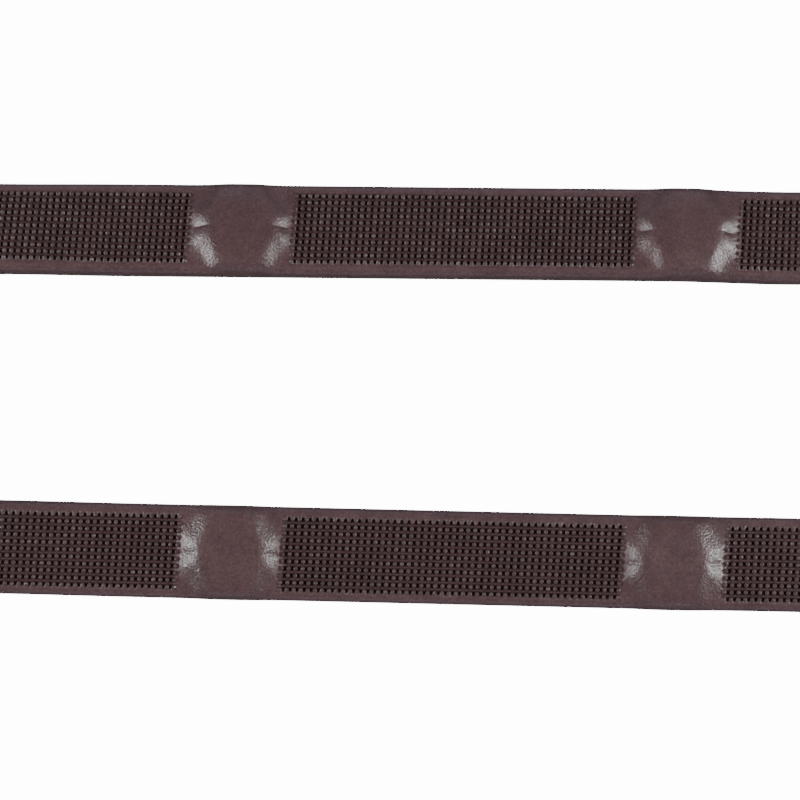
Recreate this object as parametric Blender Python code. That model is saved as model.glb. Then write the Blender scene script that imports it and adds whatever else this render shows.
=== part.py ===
"""A pair of rubber-covered leather riding reins, laid down for storage.

Units in this file are millimetres, scaled to metres when a mesh is made.  Each rein is one
leather strap.  Its middle is covered by a rubber grip, and raised hand stops lie on the strap
under the rubber.  The hand ends are buckled together at +X.  Past the open stretch, towards -X,
each rein stands on its edge in a hank of five runs, and ends in a hook-stud billet that makes the
loop for the bit ring.  The right rein lies at +Y and the left rein at -Y.
"""
import math

import bmesh
import bpy
from mathutils import Vector

MM = 0.001
CLEARANCE = 0.3

# Where the layout's own origin lies in the part's frame.
LAYOUT_SHIFT = Vector((46.5, -2.8, 0.05))

# The leather strap.
STRAP_WIDTH = 16.5
STRAP_THICKNESS = 3.2
POINT_THICKNESS = 2.4
CHAPE_THICKNESS = 2.0
BILLET_THICKNESS = 2.6
BILLET_LIFT = -0.7
POINT_SKIVED = 68.0
POINT_LENGTH = 11.0
POINT_TIP_WIDTH = 4.0

# The rubber grip, measured over the tips of its pimples.
GRIP_WIDTH = 21.2
GRIP_THICKNESS = 6.4
GRIP_LENGTH = 700.0
GRIP_CORNER = 1.8

# The hand stops under the rubber.
STOP_COUNT = 6
STOP_SPACING = 100.0
STOP_HALF_LENGTH = 9.5
STOP_HALF_CROWN = 4.5
STOP_HALF_WIDTH = 7.6
STOP_TOP_HALF_WIDTH = 6.4
STOP_HEIGHT = 2.4
STOP_END_HEIGHT = 0.6
STOP_RUBBER = 1.0
STOP_RAMP_END = 12.0
STOP_RAMP_FOOT = 10.2
STOP_SWELL = 0.3

# The open stretch, where both reins lie face up: the distance of each from the middle at its
# hand and bit ends, its roll, the half width of its loop, and how far its grip is set back.
OPEN_HALF_LENGTH = 100.0
RIGHT_OPEN = {"hand": 36.7, "bit": 38.6, "roll": 14.0, "loop": 60.0, "set_back": 3.5}
LEFT_OPEN = {"hand": 37.7, "bit": 33.0, "roll": 0.0, "loop": 50.0, "set_back": 4.7}

# The loop at the hand end.
BUCKLE_X = 250.0
HEEL_Y = 4.0
LOOP_CORNER = 20.0
BUCKLE_LIFT = 0.9
RIGHT_HEAD_N = 0.2
LEFT_HEAD_N = 1.1

# The hank.
TIE_X = -195.0
TIE_LIFT = 1.6
LEATHER_DROP = -2.3
TIE_WIDTH = 12.0
TIE_THICKNESS = 1.5
GRIP_FOLD = 12.0
LEATHER_FOLD = 9.0

# The buckle.
BAR_RADIUS = 1.5
FRAME_LENGTH = 17.0
FRAME_HALF_WIDTH = 10.2
FRAME_CORNER = 3.5
FRAME_TILT = math.radians(14.0)
TONGUE_RING = 2.65
TONGUE_HALF_WIDTH = 1.3
TONGUE_THICKNESS = 1.6
TONGUE_TILT = math.radians(13.4)
TONGUE_REACH = 20.0
TONGUE_WRAP = math.radians(265.0)
CHAPE_FOLD = 3.0
CHAPE_SLOT = (-3.7, 6.0)
CHAPE_SLOT_HALF = 2.2
POINT_SLOT = (0.4, 11.6)
POINT_SLOT_HALF = 1.8
SPARE_HOLES = (-13.0, -26.0)
SPARE_HOLE_REACH = 2.6
KEEPER_THICKNESS = 1.6
KEEPER_WIDTH = 7.5
FIXED_KEEPER_U = -15.0
RUNNER_U = -28.5
KEEPER_INNER = (-3.1, 6.4)

# The billet at the bit end, measured back from the middle of its fold.
BILLET_Q = 24.4
BILLET_SLOPE = math.radians(20.5)
BILLET_REACH = 160.0
BIT_FOLD = 7.5
BIT_FOLD_ARC = 196.0
STUD_V = -48.0
TIP_V = -80.0
TIP_M = 4.4
BILLET_KEEPER_V = -90.0
BILLET_KEEPER_INNER = (-1.9, 6.1)
STUD_RADIUS = 1.5
STUD_HOLE = 1.85
STUD_FLANGE = 3.4
FLANGE_THICKNESS = 0.8
HOOK_LENGTH = 5.0
HOOK_HALF_WIDTH = 1.8
HOOK_THICKNESS = 1.9
TIP_SLOT = (-6.4, 2.6)
TIP_SLOT_HALF = 2.5

# How far a sweep's straight pieces may leave the curve, bend, twist or reach.
SAGITTA = 0.1
MAX_BEND = math.radians(22.0)
MAX_TWIST = math.radians(7.0)
MAX_REACH = 24.0

UP = Vector((0.0, 0.0, 1.0))


# ---------------------------------------------------------------- materials and objects

def material(name, colour, roughness, metallic=0.0):
    made = bpy.data.materials.new(name)
    made.use_nodes = True
    shader = made.node_tree.nodes["Principled BSDF"]
    shader.inputs["Base Color"].default_value = (*colour, 1.0)
    shader.inputs["Roughness"].default_value = roughness
    shader.inputs["Metallic"].default_value = metallic
    made.diffuse_color = (*colour, 1.0)
    return made


def leather():
    return material("leather", (0.048, 0.026, 0.018), 0.45)


def rubber():
    return material("rubber", (0.052, 0.030, 0.030), 0.6)


def stop_leather():
    return material("stop_leather", (0.10, 0.06, 0.04), 0.7)


def steel():
    return material("stainless_steel", (0.62, 0.61, 0.59), 0.22, 1.0)


def make_object(name, verts, faces, finish, origin=None, smooth=False):
    """A mesh object from points in layout millimetres, with its origin where it turns."""
    origin = Vector((0.0, 0.0, 0.0)) if origin is None else (origin + LAYOUT_SHIFT) * MM
    mesh = bpy.data.meshes.new(name)
    mesh.from_pydata([(v + LAYOUT_SHIFT) * MM - origin for v in verts], [], faces)
    work = bmesh.new()
    work.from_mesh(mesh)
    bmesh.ops.recalc_face_normals(work, faces=work.faces)
    work.to_mesh(mesh)
    work.free()
    if smooth:
        mesh.shade_smooth()
        mesh.set_sharp_from_angle(angle=math.radians(40.0))
    mesh.materials.append(finish)
    made = bpy.data.objects.new(name, mesh)
    made.location = origin
    bpy.context.scene.collection.objects.link(made)
    return made


def cut(target, cutter):
    """A Boolean difference; the cutter stays as a hidden guide."""
    cutter.hide_render = True
    cutter.display_type = "WIRE"
    boolean = target.modifiers.new(cutter.name, "BOOLEAN")
    boolean.operation = "DIFFERENCE"
    boolean.solver = "EXACT"
    boolean.object = cutter


# ---------------------------------------------------------------- the route of a strap

def spline(points, steps=14):
    """A centripetal Catmull-Rom curve through points of any dimension; the first two are X, Y."""
    first = [2 * a - b for a, b in zip(points[0], points[1])]
    last = [2 * a - b for a, b in zip(points[-1], points[-2])]
    line = [first, *points, last]
    samples = []
    marks = []
    for i in range(1, len(line) - 2):
        p = line[i - 1:i + 3]
        knots = [0.0]
        for a, b in zip(p, p[1:]):
            knots.append(knots[-1] + math.sqrt(math.dist(a[:2], b[:2])))
        marks.append(len(samples))
        for step in range(steps):
            t = knots[1] + (knots[2] - knots[1]) * step / steps
            samples.append(barry_goldman(p, knots, t))
    marks.append(len(samples))
    samples.append(list(points[-1]))
    return samples, marks


def barry_goldman(p, k, t):
    def mix(a, b, lo, hi):
        f = (t - lo) / (hi - lo)
        return [x * (1.0 - f) + y * f for x, y in zip(a, b)]

    a = [mix(p[i], p[i + 1], k[i], k[i + 1]) for i in range(3)]
    b = [mix(a[i], a[i + 1], k[i], k[i + 2]) for i in range(2)]
    return mix(b[0], b[1], k[1], k[2])


class Route:
    """The centre line of a strap, with its roll.

    A point is (x, y, roll, lift, label).  At roll 0 the strap lies flat with its front face up,
    and at +90 or -90 degrees it stands on an edge.  Its height follows from the roll, because the
    grip rests on the floor, and lift is added to that.
    """

    def __init__(self, points):
        samples, marks = spline([p[:4] for p in points])
        self.places = [Vector((x, y, self.height(roll) + lift)) for x, y, roll, lift in samples]
        self.rolls = [math.radians(s[2]) for s in samples]
        self.lengths = [0.0]
        for a, b in zip(self.places, self.places[1:]):
            self.lengths.append(self.lengths[-1] + (b - a).length)
        self.marks = {p[4]: self.lengths[m] for p, m in zip(points, marks) if len(p) > 4}

    @staticmethod
    def height(roll):
        """The height of the centre line where the corner of a rolled grip touches the floor."""
        up = abs(math.sin(math.radians(roll)))
        level = abs(math.cos(math.radians(roll)))
        half = GRIP_WIDTH / 2 + STOP_SWELL
        deep = GRIP_THICKNESS / 2
        c = GRIP_CORNER
        return max(half * up + (deep - c) * level, (half - c) * up + deep * level)

    def find(self, s):
        low = 0
        high = len(self.lengths) - 1
        while high - low > 1:
            mid = (low + high) // 2
            if self.lengths[mid] <= s:
                low = mid
            else:
                high = mid
        part = (s - self.lengths[low]) / (self.lengths[high] - self.lengths[low])
        return low, high, part

    def tangent(self, i):
        before = self.places[max(i - 1, 0)]
        after = self.places[min(i + 1, len(self.places) - 1)]
        return (after - before).normalized()

    def at(self, s):
        """The place, the direction, the width direction and the front direction at s."""
        low, high, part = self.find(s)
        place = self.places[low].lerp(self.places[high], part)
        along = self.tangent(low).lerp(self.tangent(high), part).normalized()
        roll = self.rolls[low] * (1.0 - part) + self.rolls[high] * part
        side = UP.cross(along).normalized()
        top = along.cross(side)
        width = side * math.cos(roll) + top * math.sin(roll)
        front = top * math.cos(roll) - side * math.sin(roll)
        return place, along, width, front

    def choose_stations(self, forced):
        """Lengths at which every sweep has a section: closer where the strap bends or twists."""
        wanted = sorted(forced) + [self.lengths[-1]]
        chosen = [0.0]
        last = self.at(0.0)
        for s in self.lengths[1:-1]:
            while wanted[0] <= s:
                chosen.append(wanted.pop(0))
                last = self.at(chosen[-1])
            now = self.at(s)
            reach = s - chosen[-1]
            bend = last[1].angle(now[1])
            twist = last[2].angle(now[2])
            near = min(wanted[0] - s, reach) < 0.5
            turned = reach * bend / 8 > SAGITTA or bend > MAX_BEND or twist - bend > MAX_TWIST
            if (turned or reach > MAX_REACH) and not near:
                chosen.append(s)
                last = now
        self.stations = chosen + wanted

    def between(self, start, end):
        return [start] + [s for s in self.stations if start + 0.05 < s < end - 0.05] + [end]


def arc_points(centre, radius, start, end, count, roll, lift):
    """Points on a bend in plan, with angles in degrees from +X."""
    points = []
    for i in range(count):
        a = math.radians(start + (end - start) * i / (count - 1))
        x = centre[0] + radius * math.cos(a)
        y = centre[1] + radius * math.sin(a)
        points.append((x, y, roll, lift))
    return points


def hand_points(rows):
    """Points beside the buckle: u runs along +Y from its heel bar, n outward along +X."""
    return [(BUCKLE_X + n, HEEL_Y + u, roll, BUCKLE_LIFT, *label) for u, n, roll, *label in rows]


def rein_points(side, opening, head, head_n):
    """All points of a rein.  Past its head they are written for +Y and mirrored by side."""
    q_hand = opening["hand"]
    q_bit = opening["bit"]
    roll = opening["roll"] * side
    wide = opening["loop"]
    corner = (BUCKLE_X + head_n - LOOP_CORNER, wide - LOOP_CORNER)
    body = arc_points(corner, LOOP_CORNER, 12.0, 78.0, 3, 90.0, BUCKLE_LIFT)
    spread = wide - q_hand
    body += [
        (212.0, wide, 90.0, 0.9),
        (186.0, q_hand + 0.93 * spread, 90.0, 0.3),
        (165.0, q_hand + 0.74 * spread, 89.0, 0.0, "grip_start"),
        (144.0, q_hand + 0.44 * spread, 62.0, 0.0),
        (123.0, q_hand + 0.15 * spread, 30.0 + roll / 4, 0.0),
    ]
    for share in (0.0, 0.2, 0.4, 0.6, 0.8, 1.0):
        x = OPEN_HALF_LENGTH * (1.0 - 2.0 * share)
        body.append((x, q_hand + (q_bit - q_hand) * share, roll, 0.0))
    q = q_bit
    body += [
        (-122.0, q + 0.3, -28.0, 0.0),
        (-146.0, q + 0.4, -66.0, 0.2),
        (-168.0, q + 0.2, -90.0, 1.2),
        (TIE_X, q, -90.0, TIE_LIFT, "tie"),
        (-222.0, q - 1.2, -90.0, 1.2),
        (-250.0, q - 5.5, -90.0, 0.0),
        *arc_points((-270.0, q + 4.5), GRIP_FOLD, 270.0, 90.0, 5, -90.0, 0.0),
        (-248.0, q + 13.5, -90.0, 0.0),
        (-222.0, q + 9.6, -90.0, 1.2),
        (TIE_X, q + 8.6, -90.0, TIE_LIFT),
        (-168.0, q + 9.4, -90.0, 1.2),
        (-146.0, q + 13.0, -90.0, 0.2),
        *arc_points((-120.0, q + 28.0), GRIP_FOLD, -90.0, 90.0, 5, -90.0, 0.0),
        (-142.0, q + 35.6, -90.0, 0.0),
        (-168.0, q + 22.0, -90.0, 1.0),
        (TIE_X, q + 14.9, -90.0, TIE_LIFT),
        (-220.0, q + 16.6, -90.0, 0.0),
        (-240.0, q + 21.2, -90.0, LEATHER_DROP),
        *arc_points((-252.0, q + 31.4), LEATHER_FOLD - 0.5, 270.0, 90.0, 5, -90.0, LEATHER_DROP),
        (-238.0, q + 35.8, -90.0, LEATHER_DROP),
        (-218.0, q + 25.0, -90.0, 0.0),
        (TIE_X, q + 19.4, -90.0, TIE_LIFT),
        (-168.0, q + 28.0, -90.0, 0.0),
        (-146.0, q + 42.0, -90.0, LEATHER_DROP),
        *arc_points((-126.0, q + 56.4), LEATHER_FOLD + 1.0, -90.0, 90.0, 5, -90.0, LEATHER_DROP),
        (-148.0, q + 59.0, -90.0, LEATHER_DROP),
        (-171.0, q + 38.0, -90.0, 0.0),
        (TIE_X, q + BILLET_Q, -90.0, TIE_LIFT, "billet_line"),
    ]
    body += billet_points((TIE_X, q + BILLET_Q))
    turned = [(x, side * y, side * r, lift, *label) for x, y, r, lift, *label in body]
    return head + turned


def billet_frame(start):
    """The billet's directions in plan: v points to the bit, m points outward."""
    along = (-math.cos(BILLET_SLOPE), math.sin(BILLET_SLOPE))
    out = (math.sin(BILLET_SLOPE), math.cos(BILLET_SLOPE))
    end = (start[0] + BILLET_REACH * along[0], start[1] + BILLET_REACH * along[1])
    return end, along, out


def billet_point(start, v, m):
    end, along, out = billet_frame(start)
    return end[0] + v * along[0] + m * out[0], end[1] + v * along[1] + m * out[1]


def billet_points(start):
    """From the tie along the billet, round the loop for the bit and back along the tip."""
    points = []
    points.append((*billet_point(start, -138.0, 0.0), -90.0, 0.5))
    for v in (-116.0, -90.0, -66.0, -44.0, -20.0):
        points.append((*billet_point(start, v, 0.0), -90.0, BILLET_LIFT))
    steps = 6
    for i in range(steps + 1):
        a = math.radians(BIT_FOLD_ARC * i / steps)
        v = BIT_FOLD * math.sin(a)
        m = BIT_FOLD * (1.0 - math.cos(a))
        label = {0: ("fold_start",), steps: ("fold_end",)}.get(i, ())
        points.append((*billet_point(start, v, m), -90.0, BILLET_LIFT, *label))
    closing = ((-14.0, 10.8), (-24.0, 7.0), (-33.0, 4.9))
    for v, m in (*closing, (-42.0, TIP_M), (-60.0, TIP_M), (TIP_V, TIP_M)):
        points.append((*billet_point(start, v, m), -90.0, BILLET_LIFT))
    return points


RIGHT_HEAD = hand_points([
    (-44.0, 3.6, 90.0),
    (-35.0, 4.5, 90.0),
    (-22.0, 4.5, 90.0),
    (-12.0, 4.6, 90.0),
    (-5.0, 5.4, 90.0),
    (1.0, 5.7, 90.0),
    (8.0, 3.8, 90.0),
    (13.0, 1.4, 90.0),
    (17.5, 0.2, 90.0),
    (24.0, 0.0, 90.0),
])

DIAGONAL = CHAPE_FOLD * math.sqrt(0.5)
LEFT_HEAD = hand_points([
    (-36.0, -1.8, -90.0),
    (-24.0, -1.75, -90.0),
    (-11.0, -1.75, -90.0),
    (-5.0, -2.55, -90.0),
    (0.0, -CHAPE_FOLD, -90.0),
    (DIAGONAL, -DIAGONAL, -90.0),
    (CHAPE_FOLD, 0.0, -90.0, "heel"),
    (DIAGONAL, DIAGONAL, -90.0),
    (0.0, CHAPE_FOLD, -90.0, "fold_done"),
    (-5.0, 2.5, -90.0),
    (-11.0, 1.6, -90.0, "full_thickness"),
    (-20.0, 1.25, -90.0),
    (-30.0, 1.25, -90.0),
])


def stop_lengths(route):
    return [route.marks["grip_start"] + STOP_SPACING * (i + 1) for i in range(STOP_COUNT)]


def rein_route(side, opening, head, head_n):
    route = Route(rein_points(side, opening, head, head_n))
    route.marks["grip_start"] += opening["set_back"]
    forced = [route.marks["grip_start"], route.marks["grip_start"] + GRIP_LENGTH]
    for centre in stop_lengths(route):
        for d in (STOP_RAMP_END, STOP_RAMP_FOOT, STOP_HALF_LENGTH, STOP_HALF_CROWN):
            forced += [centre - d, centre + d]
    end = route.lengths[-1]
    for share in (0.15, 0.45, 1.0):
        forced += [POINT_LENGTH * share, end - POINT_LENGTH * share]
    route.choose_stations(forced)
    return route


EDGE_HEIGHT = Route.height(90.0)
SIDES = {"right": 1.0, "left": -1.0}
OPENS = {"right": RIGHT_OPEN, "left": LEFT_OPEN}
ROUTES = {
    "right": rein_route(SIDES["right"], RIGHT_OPEN, RIGHT_HEAD, RIGHT_HEAD_N),
    "left": rein_route(SIDES["left"], LEFT_OPEN, LEFT_HEAD, LEFT_HEAD_N),
}


# ---------------------------------------------------------------- sweeps

def sweep(name, route, stations, section, finish, inner=None, origin=None):
    """A closed solid along a route.  section(s) gives (width, front) pairs; inner makes a sleeve."""
    rings = []
    verts = []
    for s in stations:
        place, _, width, front = route.at(s)
        for outline in [section(s)] + ([inner(s)] if inner else []):
            ring = []
            for w, n in outline:
                ring.append(len(verts))
                verts.append(place + width * w + front * n)
            rings.append(ring)
    layers = 2 if inner else 1
    faces = []
    for layer in range(layers):
        loops = rings[layer::layers]
        outlines = [(inner if layer else section)(s) for s in stations]
        for outline, a, b in zip(outlines, loops, loops[1:]):
            faces += wall_faces(outline, a, b)
    for rim in (rings[:layers], rings[-layers:]):
        faces += rim_faces(*rim) if inner else [tuple(rim[0])]
    return make_object(name, verts, faces, finish, origin)


def wall_faces(outline, a, b):
    """Triangles between two rings, split the same way on every piece, so twisted layers nest."""
    faces = []
    for i, j in zip(range(len(a)), [*range(1, len(a)), 0]):
        if outline[i] > outline[j]:
            faces += [(a[i], a[j], b[j]), (a[i], b[j], b[i])]
        else:
            faces += [(a[i], a[j], b[i]), (a[j], b[j], b[i])]
    return faces


def rim_faces(outer, inner):
    """The end of a sleeve, between an outline of eight points and a hollow of four."""
    faces = []
    for k in range(4):
        a, b = outer[2 * k], outer[2 * k + 1]
        after = outer[(2 * k + 2) % 8]
        faces.append((a, b, inner[k]))
        faces.append((b, after, inner[(k + 1) % 4], inner[k]))
    return faces


def rectangle(half_width, low, high):
    return [(half_width, low), (half_width, high), (-half_width, high), (-half_width, low)]


def ease(t):
    t = min(max(t, 0.0), 1.0)
    return t * t * (3.0 - 2.0 * t)


# ---------------------------------------------------------------- straps

def strap_section(side, route):
    """The strap's outline at s: skived at its chape or its point, full elsewhere."""
    fold = route.marks["fold_start"]

    def section(s):
        thickness = STRAP_THICKNESS
        half = STRAP_WIDTH / 2
        if side == "left":
            start = route.marks["fold_done"]
            share = ease((s - start) / (route.marks["full_thickness"] - start))
            thickness = CHAPE_THICKNESS + (STRAP_THICKNESS - CHAPE_THICKNESS) * share
            half -= 0.4 * (1.0 - share)
        if side == "right":
            share = ease((s - POINT_SKIVED) / 10.0)
            thickness = POINT_THICKNESS + (STRAP_THICKNESS - POINT_THICKNESS) * share
            near_tip = min(s / POINT_LENGTH, 1.0)
            half = POINT_TIP_WIDTH / 2 + (half - POINT_TIP_WIDTH / 2) * math.sqrt(near_tip)
        thickness -= (STRAP_THICKNESS - BILLET_THICKNESS) * ease((s - fold + 20.0) / 20.0)
        return rectangle(half, -thickness / 2, thickness / 2)

    return section


def make_strap(side):
    route = ROUTES[side]
    stations = route.between(0.0, route.marks["fold_start"] - CLEARANCE / 2)
    strap = sweep(f"{side}_rein_strap", route, stations, strap_section(side, route), leather())
    start = billet_origin(side)
    cut(strap, bore(f"{side}_stud_hole", start, SIDES[side], STUD_V, STUD_HOLE, (-6.0, 3.0)))
    if side == "right":
        cut(strap, buckle_slot("point_slot", POINT_SLOT, POINT_SLOT_HALF, (-1.0, 12.0)))
        for number, u in enumerate(SPARE_HOLES, 1):
            reach = (u - SPARE_HOLE_REACH, u + SPARE_HOLE_REACH)
            cut(strap, buckle_slot(f"spare_hole_{number}", reach, POINT_SLOT_HALF, (2.9, 12.0)))
    else:
        cut(strap, buckle_slot("chape_slot", CHAPE_SLOT, CHAPE_SLOT_HALF, (-6.0, 4.6)))


def make_bit_loop(side):
    route = ROUTES[side]
    start = route.marks["fold_start"] + CLEARANCE / 2
    end = route.marks["fold_end"] - CLEARANCE / 2
    half = BILLET_THICKNESS / 2
    sweep(
        f"{side}_bit_loop",
        route,
        route.between(start, end),
        lambda s: rectangle(STRAP_WIDTH / 2, -half, half),
        leather(),
    )


def make_billet_tip(side):
    route = ROUTES[side]
    start = route.marks["fold_end"] + CLEARANCE / 2
    end = route.lengths[-1]
    half = BILLET_THICKNESS / 2

    def section(s):
        near_tip = min((end - s) / POINT_LENGTH, 1.0)
        width = POINT_TIP_WIDTH + (STRAP_WIDTH - POINT_TIP_WIDTH) * math.sqrt(max(near_tip, 0.0))
        return rectangle(width / 2, -half, half)

    tip = sweep(
        f"{side}_billet_tip",
        route,
        route.between(start, end),
        section,
        leather(),
        origin=fold_axis(side),
    )
    low, high = TIP_SLOT
    cut(tip, billet_slot(f"{side}_tip_slot", side, (STUD_V + low, STUD_V + high)))


# ---------------------------------------------------------------- rubber grips and hand stops

def hump(route, s):
    """How far a hand stop raises the rubber at s, from 0 to 1, and how far the hollow opens."""
    near = min(abs(s - centre) for centre in stop_lengths(route))
    low = STOP_END_HEIGHT / STOP_HEIGHT
    if near >= STOP_RAMP_END:
        return 0.0
    if near >= STOP_RAMP_FOOT:
        return low * (STOP_RAMP_END - near) / (STOP_RAMP_END - STOP_RAMP_FOOT)
    if near >= STOP_HALF_CROWN:
        return low + (1.0 - low) * (STOP_RAMP_FOOT - near) / (STOP_RAMP_FOOT - STOP_HALF_CROWN)
    return 1.0


def grip_outer(raised):
    """Eight points round the grip; raised lifts its front and swells its edges."""
    half = GRIP_WIDTH / 2
    deep = GRIP_THICKNESS / 2
    hollow = STRAP_THICKNESS / 2 + 2 * CLEARANCE + STOP_HEIGHT + STOP_RUBBER
    top = deep + (hollow + CLEARANCE - deep) * raised
    shoulder = deep - GRIP_CORNER + 1.5 * raised
    swell = STOP_SWELL * raised
    c = GRIP_CORNER
    return [
        (half + swell, -deep + c),
        (half + swell, shoulder),
        (half - c - 0.4 * raised, top),
        (-half + c + 0.4 * raised, top),
        (-half - swell, shoulder),
        (-half - swell, -deep + c),
        (-half + c, -deep),
        (half - c, -deep),
    ]


def grip_hollow(raised):
    half = STRAP_WIDTH / 2 + CLEARANCE
    deep = STRAP_THICKNESS / 2 + CLEARANCE
    top = deep + (STOP_HEIGHT + CLEARANCE) * raised
    return rectangle(half, -deep, top)


def make_grip(side):
    route = ROUTES[side]
    start = route.marks["grip_start"]
    stations = route.between(start, start + GRIP_LENGTH)

    def outer(s):
        loop = grip_outer(hump(route, s))
        return loop[-1:] + loop[:-1]

    sweep(
        f"{side}_rubber_grip",
        route,
        stations,
        outer,
        rubber(),
        inner=lambda s: grip_hollow(hump(route, s)),
    )


def make_hand_stop(side, number, centre):
    """A skived leather block on the strap's front face, with sloping ends."""
    route = ROUTES[side]
    base = STRAP_THICKNESS / 2 + CLEARANCE

    def section(s):
        slope = (STOP_HALF_LENGTH - abs(s - centre)) / (STOP_HALF_LENGTH - STOP_HALF_CROWN)
        raised = min(max(slope, 0.0), 1.0)
        height = STOP_END_HEIGHT + (STOP_HEIGHT - STOP_END_HEIGHT) * raised
        top = STOP_HALF_WIDTH + (STOP_TOP_HALF_WIDTH - STOP_HALF_WIDTH) * raised
        return [
            (STOP_HALF_WIDTH, base),
            (top, base + height),
            (-top, base + height),
            (-STOP_HALF_WIDTH, base),
        ]

    stations = route.between(centre - STOP_HALF_LENGTH, centre + STOP_HALF_LENGTH)
    sweep(f"{side}_hand_stop_{number}", route, stations, section, stop_leather())


# ---------------------------------------------------------------- places at the two ends

def buckle_place(u, n, z=0.0):
    """A point beside the buckle, with z measured from the middle of the strap's width."""
    return Vector((BUCKLE_X + n, HEEL_Y + u, EDGE_HEIGHT + BUCKLE_LIFT + z))


def billet_origin(side):
    return (TIE_X, OPENS[side]["bit"] + BILLET_Q)


def billet_place(side, v, m, z=0.0):
    x, q = billet_point(billet_origin(side), v, m)
    return Vector((x, SIDES[side] * q, EDGE_HEIGHT + BILLET_LIFT + z))


def fold_axis(side):
    return billet_place(side, 0.0, BIT_FOLD)


def extrude(name, outline, low, high, place, finish, origin=None, smooth=False):
    """A prism: place(a, b, c) puts the outline's (a, b) at the depth c."""
    verts = [place(a, b, c) for c in (low, high) for a, b in outline]
    count = len(outline)
    faces = [tuple(range(count)), tuple(range(count, 2 * count))]
    faces += [(i, (i + 1) % count, (i + 1) % count + count, i + count) for i in range(count)]
    return make_object(name, verts, faces, finish, origin, smooth)


def slot_outline(low, high, half, steps=5):
    """A slot with round ends, from low to high."""
    outline = []
    for centre, start in ((high - half, -90.0), (low + half, 90.0)):
        for i in range(steps + 1):
            a = math.radians(start + 180.0 * i / steps)
            outline.append((centre + half * math.cos(a), half * math.sin(a)))
    return outline


def circle(radius, count=12, centre=(0.0, 0.0)):
    turn = 2.0 * math.pi / count
    return [
        (centre[0] + radius * math.cos(i * turn), centre[1] + radius * math.sin(i * turn))
        for i in range(count)
    ]


def buckle_slot(name, reach, half, depth):
    return extrude(
        name,
        slot_outline(*reach, half),
        *depth,
        lambda a, b, c: buckle_place(a, c, b),
        leather(),
    )


def billet_slot(name, side, reach):
    return extrude(
        name,
        slot_outline(*reach, TIP_SLOT_HALF),
        0.0,
        10.0,
        lambda a, b, c: billet_place(side, a, c, b),
        leather(),
    )


def bore(name, start, sign, v, radius, depth):
    def place(a, b, c):
        x, q = billet_point(start, v + a, c)
        return Vector((x, sign * q, EDGE_HEIGHT + BILLET_LIFT + b))

    return extrude(name, circle(radius), *depth, place, leather())


# ---------------------------------------------------------------- keepers and ties

def band_outline(low, high, half, corner):
    """A rectangle with cut corners, from low to high across the strap's faces."""
    return [
        (low, -half + corner),
        (low, half - corner),
        (low + corner, half),
        (high - corner, half),
        (high, half - corner),
        (high, -half + corner),
        (high - corner, -half),
        (low + corner, -half),
    ]


def band(name, inner, thickness, width, place, finish, origin=None):
    """A closed loop of leather: place(n, z, along)."""
    low, high, half = inner
    corner = 0.6
    t = thickness
    outer_loop = band_outline(low - t, high + t, half + t, corner + 0.6 * t)
    inner_loop = band_outline(low, high, half, corner * 0.4)
    verts = []
    for along in (-width / 2, width / 2):
        for loop in (outer_loop, inner_loop):
            verts += [place(n, z, along) for n, z in loop]
    faces = []
    for i in range(8):
        j = (i + 1) % 8
        faces.append((i, j, 16 + j, 16 + i))
        faces.append((8 + i, 8 + j, 24 + j, 24 + i))
        faces.append((i, j, 8 + j, 8 + i))
        faces.append((16 + i, 16 + j, 24 + j, 24 + i))
    return make_object(name, verts, faces, finish, origin)


def make_buckle_bands():
    half = STRAP_WIDTH / 2 + CLEARANCE
    for name, u in (("buckle_fixed_keeper", FIXED_KEEPER_U), ("buckle_runner", RUNNER_U)):
        band(
            name,
            (*KEEPER_INNER, half),
            KEEPER_THICKNESS,
            KEEPER_WIDTH,
            lambda n, z, along, u=u: buckle_place(u + along, n, z),
            leather(),
            origin=buckle_place(u, 0.0),
        )


def make_billet_keeper(side):
    half = STRAP_WIDTH / 2 + CLEARANCE
    band(
        f"{side}_billet_keeper",
        (*BILLET_KEEPER_INNER, half),
        KEEPER_THICKNESS,
        KEEPER_WIDTH,
        lambda n, z, along: billet_place(side, BILLET_KEEPER_V + along, n, z),
        leather(),
        origin=billet_place(side, BILLET_KEEPER_V, 0.0),
    )


def make_hank_tie(side):
    """The band round the five runs of a hank."""
    q = OPENS[side]["bit"]
    low = q - GRIP_THICKNESS / 2 - CLEARANCE
    high = q + BILLET_Q + STRAP_THICKNESS / 2 + 2.4
    middle = EDGE_HEIGHT + TIE_LIFT

    def place(n, z, along):
        return Vector((TIE_X + along, SIDES[side] * n, middle + z))

    half = GRIP_WIDTH / 2 + CLEARANCE
    band(f"{side}_hank_tie", (low, high, half), TIE_THICKNESS, TIE_WIDTH, place, leather())


# ---------------------------------------------------------------- the buckle

def tube(name, path, sizes, finish, closed=False, origin=None, sides=12):
    """A round or oval bar along points in the plane of (u, n), or in space."""
    verts = []
    count = len(path)
    for i, (point, (across, deep)) in enumerate(zip(path, sizes)):
        before = path[i - 1] if closed or i else path[0]
        after = path[(i + 1) % count] if closed or i < count - 1 else path[-1]
        along = (after - before).normalized()
        face = AXIS_OF[name].cross(along).normalized()
        for k in range(sides):
            a = 2.0 * math.pi * k / sides
            verts.append(point + AXIS_OF[name] * across * math.cos(a) + face * deep * math.sin(a))
    faces = []
    for i in range(count if closed else count - 1):
        j = (i + 1) % count
        for k in range(sides):
            m = (k + 1) % sides
            faces.append((i * sides + k, i * sides + m, j * sides + m, j * sides + k))
    if not closed:
        faces.append(tuple(range(sides)))
        faces.append(tuple(range((count - 1) * sides, count * sides)))
    return make_object(name, verts, faces, finish, origin, smooth=True)


FRAME_NORMAL = Vector((math.cos(FRAME_TILT), -math.sin(FRAME_TILT), 0.0))
AXIS_OF = {"buckle_frame": FRAME_NORMAL, "buckle_tongue": UP}


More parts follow.
